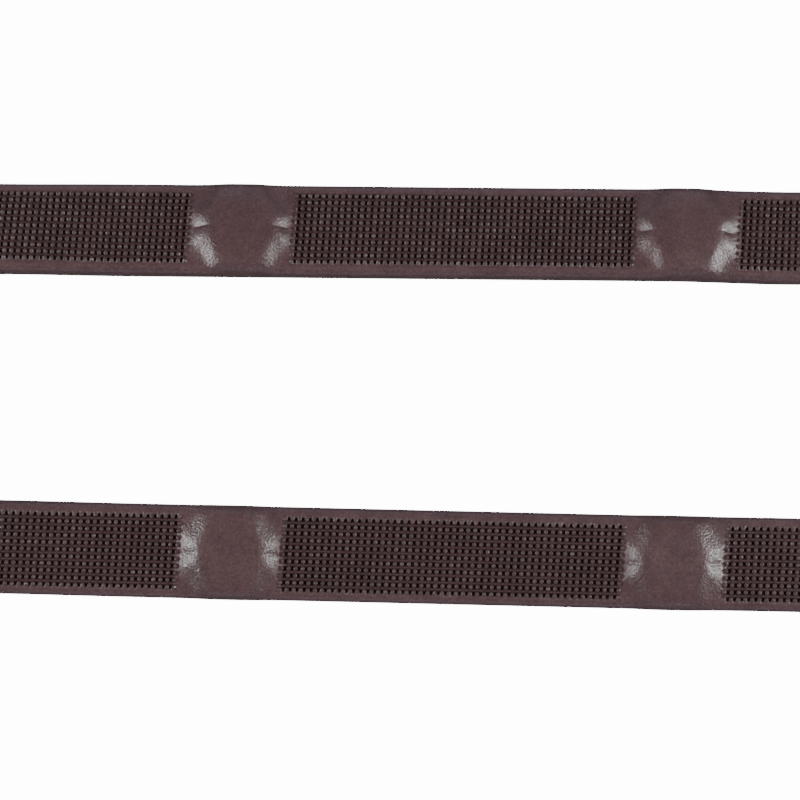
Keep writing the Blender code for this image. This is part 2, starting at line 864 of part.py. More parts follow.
def make_buckle_frame():
    """A rounded rectangle of round wire, tilted outward about its heel bar."""
    corners = (
        (FRAME_LENGTH - FRAME_CORNER, FRAME_HALF_WIDTH - FRAME_CORNER, 0.0),
        (FRAME_CORNER, FRAME_HALF_WIDTH - FRAME_CORNER, 90.0),
        (FRAME_CORNER, -FRAME_HALF_WIDTH + FRAME_CORNER, 180.0),
        (FRAME_LENGTH - FRAME_CORNER, -FRAME_HALF_WIDTH + FRAME_CORNER, 270.0),
    )
    steps = 5
    path = []
    for u, z, start in corners:
        for i in range(steps + 1):
            a = math.radians(start + 90.0 * i / steps)
            reach = u + FRAME_CORNER * math.cos(a)
            height = z + FRAME_CORNER * math.sin(a)
            path.append(
                buckle_place(reach * math.cos(FRAME_TILT), reach * math.sin(FRAME_TILT), height)
            )
    sizes = [(BAR_RADIUS, BAR_RADIUS)] * len(path)
    tube("buckle_frame", path, sizes, steel(), closed=True)


def make_buckle_tongue():
    """A strip wrapped round the heel bar, whose stem goes through the point and over the frame."""
    leave = math.pi / 2 + TONGUE_TILT
    steps = 14
    path = []
    for i in range(steps + 1):
        a = leave + TONGUE_WRAP * (1.0 - i / steps)
        path.append(buckle_place(TONGUE_RING * math.cos(a), TONGUE_RING * math.sin(a)))
    root_u = TONGUE_RING * math.cos(leave)
    root_n = TONGUE_RING * math.sin(leave)
    for share in (0.25, 0.5, 0.75, 0.95, 1.0):
        u = root_u + TONGUE_REACH * share * math.cos(TONGUE_TILT)
        n = root_n + TONGUE_REACH * share * math.sin(TONGUE_TILT)
        path.append(buckle_place(u, n))
    sizes = [(TONGUE_HALF_WIDTH, TONGUE_THICKNESS / 2)] * (len(path) - 2)
    sizes += [(1.1, 0.75), (0.6, 0.4)]
    tube("buckle_tongue", path, sizes, steel(), origin=buckle_place(0.0, 0.0), sides=10)


# ---------------------------------------------------------------- the hook studs

def make_hook_stud(side):
    """Flange, shank and neck turned about the stud's axis, with a hook leaning from the bit."""
    face = STRAP_THICKNESS / 2
    flange = face + CLEARANCE
    neck = TIP_M + BILLET_THICKNESS / 2 + CLEARANCE
    rings = [
        (-face - CLEARANCE - FLANGE_THICKNESS - 0.5, STUD_RADIUS, 0.0),
        (flange, STUD_RADIUS, 0.0),
        (flange, STUD_FLANGE, 0.0),
        (flange + FLANGE_THICKNESS, STUD_FLANGE, 0.0),
        (flange + FLANGE_THICKNESS, STUD_RADIUS, 0.0),
        (neck, STUD_RADIUS, 0.0),
        (neck + 0.1, HOOK_HALF_WIDTH, HOOK_LENGTH),
        (neck + 0.6 * HOOK_THICKNESS, HOOK_HALF_WIDTH, HOOK_LENGTH),
        (neck + HOOK_THICKNESS, HOOK_HALF_WIDTH * 0.5, HOOK_LENGTH - 1.0),
    ]
    sides = 16
    verts = []
    for m, radius, stretch in rings:
        for k in range(sides):
            a = 2.0 * math.pi * (k + 0.5) / sides
            v = STUD_V + radius * math.cos(a)
            if math.cos(a) < 0.0:
                v -= max(stretch - radius, 0.0)
            verts.append(billet_place(side, v, m, radius * math.sin(a)))
    faces = [tuple(range(sides)), tuple(range((len(rings) - 1) * sides, len(rings) * sides))]
    for i in range(len(rings) - 1):
        for k in range(sides):
            j = (k + 1) % sides
            faces.append((i * sides + k, i * sides + j, (i + 1) * sides + j, (i + 1) * sides + k))
    make_object(f"{side}_hook_stud", verts, faces, steel(), smooth=True)


def make_stud_burr(side):
    """The washer on the strap's front face that the shank is riveted over."""
    face = -STRAP_THICKNESS / 2 - CLEARANCE
    levels = (face, face - FLANGE_THICKNESS)
    verts = []
    for radius in (STUD_FLANGE, STUD_HOLE):
        for m in levels:
            for a, b in circle(radius, 16):
                verts.append(billet_place(side, STUD_V + a, m, b))
    faces = []
    for k in range(16):
        j = (k + 1) % 16
        loop = (0, 16, 48, 32)
        for a, b in zip(loop, loop[1:] + loop[:1]):
            faces.append((a + k, a + j, b + j, b + k))
    make_object(f"{side}_stud_burr", verts, faces, steel(), smooth=True)


# ---------------------------------------------------------------- the whole part

def main():
    for old in list(bpy.data.objects):
        bpy.data.objects.remove(old, do_unlink=True)
    for side in SIDES:
        make_strap(side)
        make_grip(side)
        for number, centre in enumerate(stop_lengths(ROUTES[side]), 1):
            make_hand_stop(side, number, centre)
        make_bit_loop(side)
        make_billet_tip(side)
        make_hook_stud(side)
        make_stud_burr(side)
        make_billet_keeper(side)
        make_hank_tie(side)
    make_buckle_frame()
    make_buckle_tongue()
    make_buckle_bands()


main()
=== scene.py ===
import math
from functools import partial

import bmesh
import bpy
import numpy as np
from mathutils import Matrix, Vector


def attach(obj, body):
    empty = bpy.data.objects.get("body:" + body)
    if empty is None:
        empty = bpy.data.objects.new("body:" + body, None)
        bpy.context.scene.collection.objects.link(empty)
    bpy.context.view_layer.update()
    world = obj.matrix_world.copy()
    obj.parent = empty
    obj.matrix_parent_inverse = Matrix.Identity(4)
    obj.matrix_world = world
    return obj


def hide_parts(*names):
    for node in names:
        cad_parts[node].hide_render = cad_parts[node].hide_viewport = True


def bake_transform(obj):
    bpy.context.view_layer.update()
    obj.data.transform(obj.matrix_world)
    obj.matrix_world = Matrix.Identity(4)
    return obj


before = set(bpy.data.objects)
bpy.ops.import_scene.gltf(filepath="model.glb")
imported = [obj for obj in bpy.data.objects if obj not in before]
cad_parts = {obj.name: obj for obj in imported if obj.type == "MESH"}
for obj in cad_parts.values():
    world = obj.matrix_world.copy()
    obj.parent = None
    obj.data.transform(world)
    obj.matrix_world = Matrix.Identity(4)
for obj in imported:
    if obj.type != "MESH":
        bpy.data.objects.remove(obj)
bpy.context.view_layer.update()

# A pair of rubber-covered leather riding reins, laid down for storage.
#
# Lengths are millimetres in the layout of the two reins, scaled to metres when a mesh is made.
# A point on a rein is given by s, its length along the strap from the hand end, u across the
# strap's width, and n out of its front face.

MM = 0.001
LAYOUT_SHIFT = np.array((46.5, -2.8, 0.05))
CLEARANCE = 0.3
SIDES = {"right": 1.0, "left": -1.0}

# The leather strap.
STRAP_WIDTH = 16.5
STRAP_THICKNESS = 3.2
POINT_THICKNESS = 2.4
CHAPE_THICKNESS = 2.0
BILLET_THICKNESS = 2.6
BILLET_LIFT = -0.7
BILLET_SKIVE = 20.0
POINT_SKIVED = 68.0
SKIVE_LENGTH = 10.0
POINT_LENGTH = 11.0
POINT_TIP_WIDTH = 4.0
CHAPE_NARROWED = 0.4
TIP_STATIONS = (0.2, 0.6, 1.2, 2.0, 3.2, 4.8, 7.0, 9.4)

# The rubber grip.  A hand stop is level for STOP_CROWN each way along its middle, STOP_PULL less
# at the rubber's sides, and comes down by STOP_FOOT.  The bulges and the crease lie on its ramps,
# which are meshed RAMP_PARTS times finer within FINE_REACH.
GRIP_WIDTH = 21.2
GRIP_THICKNESS = 6.4
GRIP_LENGTH = 700.0
GRIP_CORNER = 1.8
RUBBER_BASE = 2.5
FIELD_FLOOR = 1.9
STOP_COUNT = 6
STOP_SPACING = 100.0
STOP_RISE = 2.65
STOP_CROWN = 5.2
STOP_FOOT = 12.5
STOP_PULL = 3.8
DOME_POWER = 1.8
BULGE_U = 2.8
BULGE_AWAY = 9.3
BULGE_WIDTH = 2.3
BULGE_LENGTH = 1.9
BULGE_DIP = 0.6
BULGE_HEIGHT = {"right": 0.60, "left": 0.42}
CREASE_AWAY = 9.4
CREASE_WIDTH = 0.28
CREASE_DEPTH = 0.10
RAMP_PARTS = 3
FINE_REACH = (5.5, 12.5)
STOP_SWELL = 0.3
SKIN_SWELL = 0.12

# The lattice of pimples: columns along one stop's spacing, the pitch of the rows, how many smooth
# columns a stop has, and how far a column leans across the strap.
LATTICE = {
    "right": {"columns": 67, "row_pitch": 1.54, "smooth": 15},
    "left": {"columns": 63, "row_pitch": 1.59, "smooth": 14},
}
FRONT_ROWS = 11
BACK_ROWS = 4
COLUMN_LEAN = math.tan(math.radians(3.5))
PIMPLE_RADIUS = 0.57
PIMPLE_WALL = 0.47
PIMPLE_HEIGHT = 1.26
RIB_HEIGHT = 0.50
BORDER_DIP = 0.06
END_MARGIN = 7.0
END_TAPER = 1.2
END_SHARE = 0.75
LEAN_REACH = 6.0
SLEEVE_GAP = 0.05
SEAM = ((1.0, 0.0), (0.4, 0.12), (0.16, 0.05), (0.05, -0.45))
BACK_MARGIN = 2.3

# Painted shade in the gaps between the pimples: how dark each place is painted, from 0 to 1 at the
# bottom.
RIB_SHADE = 0.25
FOOT_SHADES = (1.0, 0.7, 0.5, 0.7)
WALL_SHADE = 0.1

# The open stretch, the loop and the hank.  hand and bit are the rein's distance from the middle of
# the view at both ends of the stretch, loop is the same beside the buckle, set_back is how far the
# grip starts past its mark, and head is how far the rein is from the buckle's line at X.
OPEN_HALF_LENGTH = 100.0
OPENS = {
    "right": {"hand": 36.7, "bit": 38.6, "roll": 14.0, "loop": 60.0, "set_back": 3.5, "head": 0.2},
    "left": {"hand": 37.7, "bit": 33.0, "roll": 0.0, "loop": 50.0, "set_back": 4.7, "head": 1.1},
}
BUCKLE_X = 250.0
HEEL_Y = 4.0
LOOP_CORNER = 20.0
BUCKLE_LIFT = 0.9
TIE_X = -195.0
TIE_LIFT = 1.6
LEATHER_DROP = -2.3
TIE_WIDTH = 12.0
TIE_THICKNESS = 1.5
GRIP_FOLD = 12.0
LEATHER_FOLD = 9.0

# The buckle.  The tongue's angles are in degrees.
BAR_RADIUS = 1.5
FRAME_LENGTH = 17.0
FRAME_HALF_WIDTH = 10.2
FRAME_CORNER = 3.5
FRAME_TILT = math.radians(14.0)
TONGUE_RING = 2.65
TONGUE_HALF_WIDTH = 1.3
TONGUE_THICKNESS = 1.6
TONGUE_TILT = 13.4
TONGUE_REACH = 20.0
TONGUE_WRAP = 265.0
CHAPE_FOLD = 3.0
CHAPE_SLOT = (-3.7, 6.0)
CHAPE_SLOT_HALF = 2.2
POINT_SLOT = (0.4, 11.6)
POINT_SLOT_HALF = 1.8
SPARE_HOLES = (-13.0, -26.0)
SPARE_HOLE_REACH = 2.6
KEEPER_THICKNESS = 1.6
KEEPER_WIDTH = 7.5
FIXED_KEEPER_U = -15.0
RUNNER_U = -28.5
KEEPER_INNER = (-3.1, 6.4)
BAND_CORNER = 1.6
BAND_INNER_CORNER = 0.6
BAND_POINTS = 144

# The billet.
BILLET_Q = 24.4
BILLET_SLOPE = math.radians(20.5)
BILLET_REACH = 160.0
BIT_FOLD = 7.5
BIT_FOLD_ARC = 196.0
STUD_V = -48.0
TIP_V = -80.0
TIP_M = 4.4
BILLET_KEEPER_V = -90.0
BILLET_KEEPER_INNER = (-1.9, 6.1)
TIP_SLOT = (-6.4, 2.6)
TIP_SLOT_HALF = 2.5

# Stitches: the thread's radius, how deep its ends lie, the share of the pitch that shows, the rows
# through the leather, and those at the ends and down the back of a grip.  The leather is sewn at
# lengths from the bit fold, from where the strap gets its full thickness, and from its end.
STITCH_RADIUS = 0.30
STITCH_DIP = 0.22
STITCH_SHARE = 0.74
SEWN_U = (5.6, -5.6)
SEWN_PITCH = 3.1
BILLET_SEWN = (-68.0, -24.0)
STRAP_SEWN = (-2.0, 24.0)
CHAPE_SEWN = (4.0, 28.0)
END_ROW = 3.5
END_ROW_HALF = 8.4
END_PITCH = 3.0
SEAM_ROW_U = (1.55, -1.55)
SEAM_PITCH = 3.4
SEAM_INSET = 6.0

# The camera looks straight down at the open stretch.
VIEW_WIDTH = 180.8
LENS = 120.0
SENSOR = 36.0
STRAP_HEIGHT = 3.2

# How bright the floor and the backdrop look, and how much light they give.
FLOOR_SEEN = 14.0
FLOOR_GLOW = 0.0
WORLD_SEEN = 13.0
WORLD_GLOW = 0.07
COOL = (0.72, 0.84, 1.0)
WHITE = (1.0, 1.0, 1.0)
KEY_POWER = 5.8
SHEEN_POWER = 12.5
TOP_POWER = 1.2
FILL_POWER = 4.0
FLOOR_HALF = 30.0
FLOOR_Z = -0.0002

# Most of a noise texture's values lie between these.
NOISE_LOW = 0.3
NOISE_HIGH = 0.7
BURNISHED = (0.016, 0.009, 0.008)
SOFT_EDGE = 0.00022


# ---------- the route of a strap

def spline(points, steps=14):
    """A centripetal Catmull-Rom curve through points of any dimension; the first two are X, Y."""
    first = [2 * a - b for a, b in zip(points[0], points[1])]
    last = [2 * a - b for a, b in zip(points[-1], points[-2])]
    line = [first, *points, last]
    samples = []
    marks = []
    for i in range(1, len(line) - 2):
        p = line[i - 1:i + 3]
        knots = [0.0]
        for a, b in zip(p, p[1:]):
            knots.append(knots[-1] + math.sqrt(math.dist(a[:2], b[:2])))
        marks.append(len(samples))
        for step in range(steps):
            t = knots[1] + (knots[2] - knots[1]) * step / steps
            samples.append(barry_goldman(p, knots, t))
    marks.append(len(samples))
    samples.append(list(points[-1]))
    return samples, marks


def barry_goldman(p, k, t):
    def mix(a, b, lo, hi):
        f = (t - lo) / (hi - lo)
        return [x * (1.0 - f) + y * f for x, y in zip(a, b)]

    a = [mix(p[i], p[i + 1], k[i], k[i + 1]) for i in range(3)]
    b = [mix(a[i], a[i + 1], k[i], k[i + 2]) for i in range(2)]
    return mix(b[0], b[1], k[1], k[2])


def unit(v):
    return v / np.linalg.norm(v, axis=-1, keepdims=True)


def strap_height(roll):
    """The height of the centre line where the corner of a rolled grip touches the floor."""
    up = np.abs(np.sin(np.radians(roll)))
    level = np.abs(np.cos(np.radians(roll)))
    half = GRIP_WIDTH / 2 + STOP_SWELL
    deep = GRIP_THICKNESS / 2
    c = GRIP_CORNER
    return np.maximum(half * up + (deep - c) * level, (half - c) * up + deep * level)


class Route:
    """The centre line of a strap, with its roll."""

    def __init__(self, points):
        samples, marks = spline([p[:4] for p in points])
        samples = np.array(samples)
        height = strap_height(samples[:, 2]) + samples[:, 3]
        self.places = np.column_stack([samples[:, 0], samples[:, 1], height])
        self.rolls = np.radians(samples[:, 2])
        steps = np.linalg.norm(np.diff(self.places, axis=0), axis=1)
        self.lengths = np.concatenate([[0.0], np.cumsum(steps)])
        self.tangents = unit(np.gradient(self.places, axis=0))
        self.marks = {p[4]: self.lengths[m] for p, m in zip(points, marks) if len(p) > 4}

    def at(self, s):
        """The place, width direction and front direction at each s."""
        table = np.column_stack([self.places, self.tangents])
        found = np.column_stack([np.interp(s, self.lengths, c) for c in table.T])
        place, along = found[:, :3], unit(found[:, 3:])
        roll = np.interp(s, self.lengths, self.rolls)[:, None]
        side = unit(np.cross((0.0, 0.0, 1.0), along))
        top = np.cross(along, side)
        width = side * np.cos(roll) + top * np.sin(roll)
        front = top * np.cos(roll) - side * np.sin(roll)
        return place, width, front

    def points(self, s, u, n):
        """The layout points for arrays of lengths, widths and heights of the same shape."""
        place, width, front = self.at(np.ravel(s))
        made = place + width * np.ravel(u)[:, None] + front * np.ravel(n)[:, None]
        return made.reshape(*np.shape(s), 3)


def arc(centre, radius, start, end, steps):
    """Points on a circle, with angles in degrees."""
    turns = [math.radians(start + (end - start) * i / steps) for i in range(steps + 1)]
    return [(centre[0] + radius * math.cos(a), centre[1] + radius * math.sin(a)) for a in turns]


def arc_points(centre, radius, start, end, steps, roll, lift):
    """Points on a bend in plan."""
    return [(*place, roll, lift) for place in arc(centre, radius, start, end, steps)]


def hand_points(roll, rows):
    """Points beside the buckle: u runs along +Y from its heel bar, n outward along +X."""
    return [(BUCKLE_X + n, HEEL_Y + u, roll, BUCKLE_LIFT, *label) for u, n, *label in rows]


def rein_points(side, opening, head):
    """All points of a rein.  Past its head they are written for +Y and mirrored by side."""
    q_hand = opening["hand"]
    q = opening["bit"]
    roll = opening["roll"] * side
    wide = opening["loop"]
    corner = (BUCKLE_X + opening["head"] - LOOP_CORNER, wide - LOOP_CORNER)
    body = arc_points(corner, LOOP_CORNER, 12.0, 78.0, 2, 90.0, BUCKLE_LIFT)
    spread = wide - q_hand
    body += [
        (212.0, wide, 90.0, 0.9),
        (186.0, q_hand + 0.93 * spread, 90.0, 0.3),
        (165.0, q_hand + 0.74 * spread, 89.0, 0.0, "grip_start"),
        (144.0, q_hand + 0.44 * spread, 62.0, 0.0),
        (123.0, q_hand + 0.15 * spread, 30.0 + roll / 4, 0.0),
    ]
    for share in (0.0, 0.2, 0.4, 0.6, 0.8, 1.0):
        x = OPEN_HALF_LENGTH * (1.0 - 2.0 * share)
        body.append((x, q_hand + (q - q_hand) * share, roll, 0.0))
    body += [(-122.0, q + 0.3, -28.0, 0.0), (-146.0, q + 0.4, -66.0, 0.2)]

    def bend(x, out, radius, start, lift):
        return [(*place, lift) for place in arc((x, out), radius, start, 90.0, 4)]

    # The hank, on edge: x, how far out from the open stretch's line, and lift.
    hank = [
        (-168.0, 0.2, 1.2),
        (TIE_X, 0.0, TIE_LIFT),
        (-222.0, -1.2, 1.2),
        (-250.0, -5.5, 0.0),
        *bend(-270.0, 4.5, GRIP_FOLD, 270.0, 0.0),
        (-248.0, 13.5, 0.0),
        (-222.0, 9.6, 1.2),
        (TIE_X, 8.6, TIE_LIFT),
        (-168.0, 9.4, 1.2),
        (-146.0, 13.0, 0.2),
        *bend(-120.0, 28.0, GRIP_FOLD, -90.0, 0.0),
        (-142.0, 35.6, 0.0),
        (-168.0, 22.0, 1.0),
        (TIE_X, 14.9, TIE_LIFT),
        (-220.0, 16.6, 0.0),
        (-240.0, 21.2, LEATHER_DROP),
        *bend(-252.0, 31.4, LEATHER_FOLD - 0.5, 270.0, LEATHER_DROP),
        (-238.0, 35.8, LEATHER_DROP),
        (-218.0, 25.0, 0.0),
        (TIE_X, 19.4, TIE_LIFT),
        (-168.0, 28.0, 0.0),
        (-146.0, 42.0, LEATHER_DROP),
        *bend(-126.0, 56.4, LEATHER_FOLD + 1.0, -90.0, LEATHER_DROP),
        (-148.0, 59.0, LEATHER_DROP),
        (-171.0, 38.0, 0.0),
        (TIE_X, BILLET_Q, TIE_LIFT),
    ]
    body += [(x, q + out, -90.0, lift) for x, out, lift in hank]
    body += billet_points((TIE_X, q + BILLET_Q))
    return head + [(x, side * y, side * r, lift, *label) for x, y, r, lift, *label in body]


def billet_point(start, v, m):
    """A point in plan beside a billet: v points to the bit, m points outward."""
    along = (-math.cos(BILLET_SLOPE), math.sin(BILLET_SLOPE))
    out = (math.sin(BILLET_SLOPE), math.cos(BILLET_SLOPE))
    reach = BILLET_REACH + v
    return start[0] + reach * along[0] + m * out[0], start[1] + reach * along[1] + m * out[1]


def billet_points(start):
    """From the tie along the billet, round the loop for the bit and back along the tip."""
    rows = [(v, 0.0) for v in (-116.0, -90.0, -66.0, -44.0, -20.0)]
    fold = arc((0.0, BIT_FOLD), BIT_FOLD, -90.0, BIT_FOLD_ARC - 90.0, 6)
    rows += [(*fold[0], "fold_start"), *fold[1:-1], (*fold[-1], "fold_end")]
    rows += [(-14.0, 10.8), (-24.0, 7.0), (-33.0, 4.9)]
    rows += [(v, TIP_M) for v in (-42.0, -60.0, TIP_V)]
    points = [(*billet_point(start, -138.0, 0.0), -90.0, 0.5)]
    for v, m, *label in rows:
        points.append((*billet_point(start, v, m), -90.0, BILLET_LIFT, *label))
    return points


RIGHT_HEAD = hand_points(90.0, [
    (-44.0, 3.6), (-35.0, 4.5), (-22.0, 4.5), (-12.0, 4.6), (-5.0, 5.4),
    (1.0, 5.7), (8.0, 3.8), (13.0, 1.4), (17.5, 0.2), (24.0, 0.0),
])

DIAGONAL = CHAPE_FOLD * math.sqrt(0.5)
LEFT_HEAD = hand_points(-90.0, [
    (-36.0, -1.8), (-24.0, -1.75), (-11.0, -1.75), (-5.0, -2.55),
    (0.0, -CHAPE_FOLD), (DIAGONAL, -DIAGONAL), (CHAPE_FOLD, 0.0), (DIAGONAL, DIAGONAL),
    (0.0, CHAPE_FOLD, "fold_done"), (-5.0, 2.5), (-11.0, 1.6, "full_thickness"),
    (-20.0, 1.25), (-30.0, 1.25),
])


def rein_route(side, head):
    opening = OPENS[side]
    route = Route(rein_points(SIDES[side], opening, head))
    route.marks["grip_start"] += opening["set_back"]
    return route


ROUTES = {"right": rein_route("right", RIGHT_HEAD), "left": rein_route("left", LEFT_HEAD)}
EDGE_HEIGHT = float(strap_height(90.0))


def buckle_place(u, n, z=0.0):
    """A point beside the buckle, with z measured from the middle of the strap's width."""
    return np.array((BUCKLE_X + n, HEEL_Y + u, EDGE_HEIGHT + BUCKLE_LIFT + z))


def billet_place(side, v, m, z=0.0):
    x, q = billet_point((TIE_X, OPENS[side]["bit"] + BILLET_Q), v, m)
    return np.array((x, SIDES[side] * q, EDGE_HEIGHT + BILLET_LIFT + z))


def in_metres(points):
    return (np.asarray(points) + LAYOUT_SHIFT) * MM


def ease(t):
    t = np.clip(t, 0.0, 1.0)
    return t * t * (3.0 - 2.0 * t)


# ---------- materials

class Shading:
    """Adds nodes to the tree of a material or of the world."""

    def __init__(self, owner, shader="Principled BSDF"):
        owner.use_nodes = True
        self.owner = owner
        self.nodes = owner.node_tree.nodes
        self.links = owner.node_tree.links
        self.shader = self.nodes[shader]

    def put(self, socket, value):
        """Links a socket to another node's output, or sets its value directly."""
        if isinstance(value, bpy.types.NodeSocket):
            self.links.new(value, socket)
        else:
            socket.default_value = (*value, 1.0) if isinstance(value, tuple) else value

    def feed(self, node, inputs):
        for name, value in inputs.items():
            self.put(node.inputs[name], value)

    def finish(self, inputs):
        """Feeds the shader itself and gives back the material."""
        self.feed(self.shader, inputs)
        return self.owner

    def add(self, kind, output, inputs):
        made = self.nodes.new(kind)
        self.feed(made, inputs)
        return made.outputs[output]

    def space(self):
        return self.add("ShaderNodeTexCoord", "Object", {})

    def named(self, name):
        """A value that the mesh carries for each point."""
        made = self.nodes.new("ShaderNodeAttribute")
        made.attribute_name = name
        return made.outputs["Fac"]

    def noise(self, space, scale, detail=4.0, roughness=0.55):
        return self.add("ShaderNodeTexNoise", "Fac", {
            "Vector": space, "Scale": scale, "Detail": detail, "Roughness": roughness,
        })

    def spread(self, factor, low, high):
        """A noise's middle range spread from low to high."""
        return self.add("ShaderNodeMapRange", "Result", {
            "Value": factor,
            "From Min": NOISE_LOW, "From Max": NOISE_HIGH, "To Min": low, "To Max": high,
        })

    def ramp(self, factor, first, second, low=NOISE_LOW, high=NOISE_HIGH):
        """A colour ramp between two colours."""
        made = self.nodes.new("ShaderNodeValToRGB")
        made.color_ramp.elements[0].position = low
        made.color_ramp.elements[1].position = high
        made.color_ramp.elements[0].color = (*first, 1.0)
        made.color_ramp.elements[1].color = (*second, 1.0)
        self.feed(made, {"Fac": factor})
        return made.outputs["Color"]

    def mix(self, factor, first, second):
        """A mix of two colours, each one fixed or another node's output."""
        made = self.nodes.new("ShaderNodeMix")
        made.data_type = "RGBA"
        self.put(made.inputs["Factor"], factor)
        for name, value in (("A", first), ("B", second)):
            self.put(next(i for i in made.inputs if i.name == name and i.type == "RGBA"), value)
        return next(o for o in made.outputs if o.type == "RGBA")

    def bump(self, height, strength, distance, before=None):
        inputs = {"Height": height, "Strength": strength, "Distance": distance}
        if before:
            inputs["Normal"] = before
        return self.add("ShaderNodeBump", "Normal", inputs)

    def seen(self):
        """1 for what the camera sees directly, 0 for the light that it gives."""
        return self.add("ShaderNodeLightPath", "Is Camera Ray", {})

    def strength(self, seen, glow):
        """A strength for what the camera sees, and another for the light that it gives."""
        return self.add("ShaderNodeMapRange", "Result", {
            "Value": self.seen(), "To Min": glow, "To Max": seen,
        })


def make_rubber():
    """Dark brown moulded rubber: cloudy, flecked and matt, with a fine grain; painted shade darkens
    the gaps between the pimples and dims their reflection.
    """
    rubber = Shading(bpy.data.materials.new("moulded_rubber"))
    space = rubber.space()
    cloud = rubber.noise(space, 130.0, 7.0, 0.78)
    deep = rubber.ramp(cloud, (0.030, 0.012, 0.013), (0.052, 0.024, 0.026))
    light = rubber.ramp(cloud, (0.058, 0.026, 0.027), (0.092, 0.045, 0.047))
    fleck, speckle, grain = (rubber.noise(space, s, 2.0, 0.6) for s in (2200.0, 2600.0, 1800.0))
    body = rubber.mix(rubber.spread(fleck, 0.0, 1.0), deep, light)
    # Painted shade: the mesh's value for the gaps between the pimples darkens the base colour to
    # near black and lowers the reflection there.
    painted_gap_shade = rubber.named("painted_gap_shade")
    return rubber.finish({
        "Base Color": rubber.mix(painted_gap_shade, body, (0.002, 0.0, 0.0)),
        "Specular IOR Level": rubber.spread(painted_gap_shade, 0.45, 0.05),
        "Roughness": rubber.spread(speckle, 0.32, 0.52),
        "Normal": rubber.bump(grain, 1.0, 0.00018),
    })


def make_leather(name, dark, light, edge, roughness=0.42):
    """Bridle leather: a waxed grain with fine pores, and burnished darker edges."""
    leather = Shading(bpy.data.materials.new(name))
    space = leather.space()
    body = leather.ramp(leather.noise(space, 90.0, 5.0), dark, light)
    wax = leather.noise(space, 700.0, 3.0)
    cells = leather.nodes.new("ShaderNodeTexVoronoi")
    cells.feature = "DISTANCE_TO_EDGE"
    leather.feed(cells, {"Vector": space, "Scale": 1100.0})
    pores = leather.bump(cells.outputs["Distance"], 0.35, 0.00012)
    return leather.finish({
        "Base Color": leather.mix(leather.named("edge"), body, edge),
        "Roughness": leather.spread(wax, roughness - 0.08, roughness + 0.1),
        "Normal": leather.bump(leather.noise(space, 260.0, 4.0, 0.7), 0.3, 0.0002, pores),
        "Coat Weight": 0.08,
        "Coat Roughness": 0.3,
    })


def make_steel():
    """Polished stainless steel with faint wear."""
    steel = Shading(bpy.data.materials.new("stainless_steel"))
    space = steel.space()
    wear = steel.noise(space, 900.0, 6.0, 0.7)
    return steel.finish({
        "Metallic": 1.0,
        "Base Color": steel.ramp(steel.noise(space, 150.0), (0.56, 0.55, 0.53), (0.68, 0.67, 0.65)),
        "Roughness": steel.spread(wear, 0.14, 0.28),
        "Normal": steel.bump(wear, 0.08, 0.00005),
    })


def make_thread():
    """Waxed linen thread with its twist."""
    thread = Shading(bpy.data.materials.new("waxed_thread"))
    fibre = thread.noise(thread.space(), 3000.0, 3.0)
    return thread.finish({
        "Base Color": thread.ramp(fibre, (0.055, 0.034, 0.026), (0.105, 0.068, 0.050), 0.35, 0.65),
        "Normal": thread.bump(fibre, 0.4, 0.00008),
        "Roughness": 0.6,
    })


def make_webbing():
    """Dark brown elastic webbing."""
    webbing = Shading(bpy.data.materials.new("elastic_webbing"))
    yarn = webbing.noise(webbing.space(), 1500.0, 3.0)
    return webbing.finish({
        "Base Color": webbing.ramp(yarn, (0.022, 0.014, 0.012), (0.050, 0.034, 0.028)),
        "Normal": webbing.bump(yarn, 0.5, 0.00015),
        "Roughness": 0.85,
        "Sheen Weight": 0.25,
        "Sheen Roughness": 0.5,
    })


RUBBER = make_rubber()
LEATHER = make_leather("bridle_leather", (0.046, 0.022, 0.016), (0.076, 0.037, 0.025), BURNISHED)
KEEPER_LEATHER = make_leather(
    "keeper_leather", (0.042, 0.020, 0.014), (0.070, 0.034, 0.023), BURNISHED
)
STOP_LEATHER = make_leather(
    "stop_leather", (0.10, 0.055, 0.035), (0.15, 0.09, 0.06), (0.08, 0.05, 0.03), 0.7
)
STEEL = make_steel()
THREAD = make_thread()
WEBBING = make_webbing()

# The two kinds of band: thickness, width, ribs raised round the outside, material and slot.
KEEPER = (KEEPER_THICKNESS, KEEPER_WIDTH, 0, KEEPER_LEATHER, "keeper_leather")
TIE = (TIE_THICKNESS, TIE_WIDTH, 9, WEBBING, "tie_webbing")


# ---------- meshes

def in_scene(name, data):
    """A new object, linked to the scene."""
    made = bpy.data.objects.new(name, data)
    bpy.context.scene.collection.objects.link(made)
    return made


def new_mesh(name, points, faces):
    """A mesh from layout points."""
    mesh = bpy.data.meshes.new(name)
    mesh.from_pydata(in_metres(points).tolist(), [], faces)
    return mesh


def face_out(mesh):
    work = bmesh.new()
    work.from_mesh(mesh)
    bmesh.ops.recalc_face_normals(work, faces=work.faces)
    work.to_mesh(mesh)
    work.free()


def new_piece(name, points, faces, finish, body, nodes=(), values=None, sharp=None):
    """A smooth-shaded piece from layout points, riding on a body and standing for CAD nodes."""
    mesh = new_mesh(name, points, faces)
    mesh.shade_smooth()
    if sharp:
        mesh.set_sharp_from_angle(angle=math.radians(sharp))
    for label, numbers in (values or {}).items():
        layer = mesh.attributes.new(label, "FLOAT", "POINT")
        layer.data.foreach_set("value", np.asarray(numbers, np.float32))
    mesh.materials.append(finish)
    made = in_scene(name, mesh)
    if nodes:
        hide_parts(*nodes)
    if body:
        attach(made, body)
    return made


def tube_faces(rows, columns, start=0, ring=False):
    """Quads between closed rows of points, and a face at each end unless they form a ring."""
    faces = []
    for r in range(rows if ring else rows - 1):
        a = start + r * columns
        b = start + (r + 1) % rows * columns
        for c in range(columns):
            d = (c + 1) % columns
            faces.append((a + c, a + d, b + d, b + c))
    if not ring:
        last = start + (rows - 1) * columns
        faces.append(tuple(range(start + columns - 1, start - 1, -1)))
        faces.append(tuple(range(last, last + columns)))
    return faces


# ---------- the rubber grips

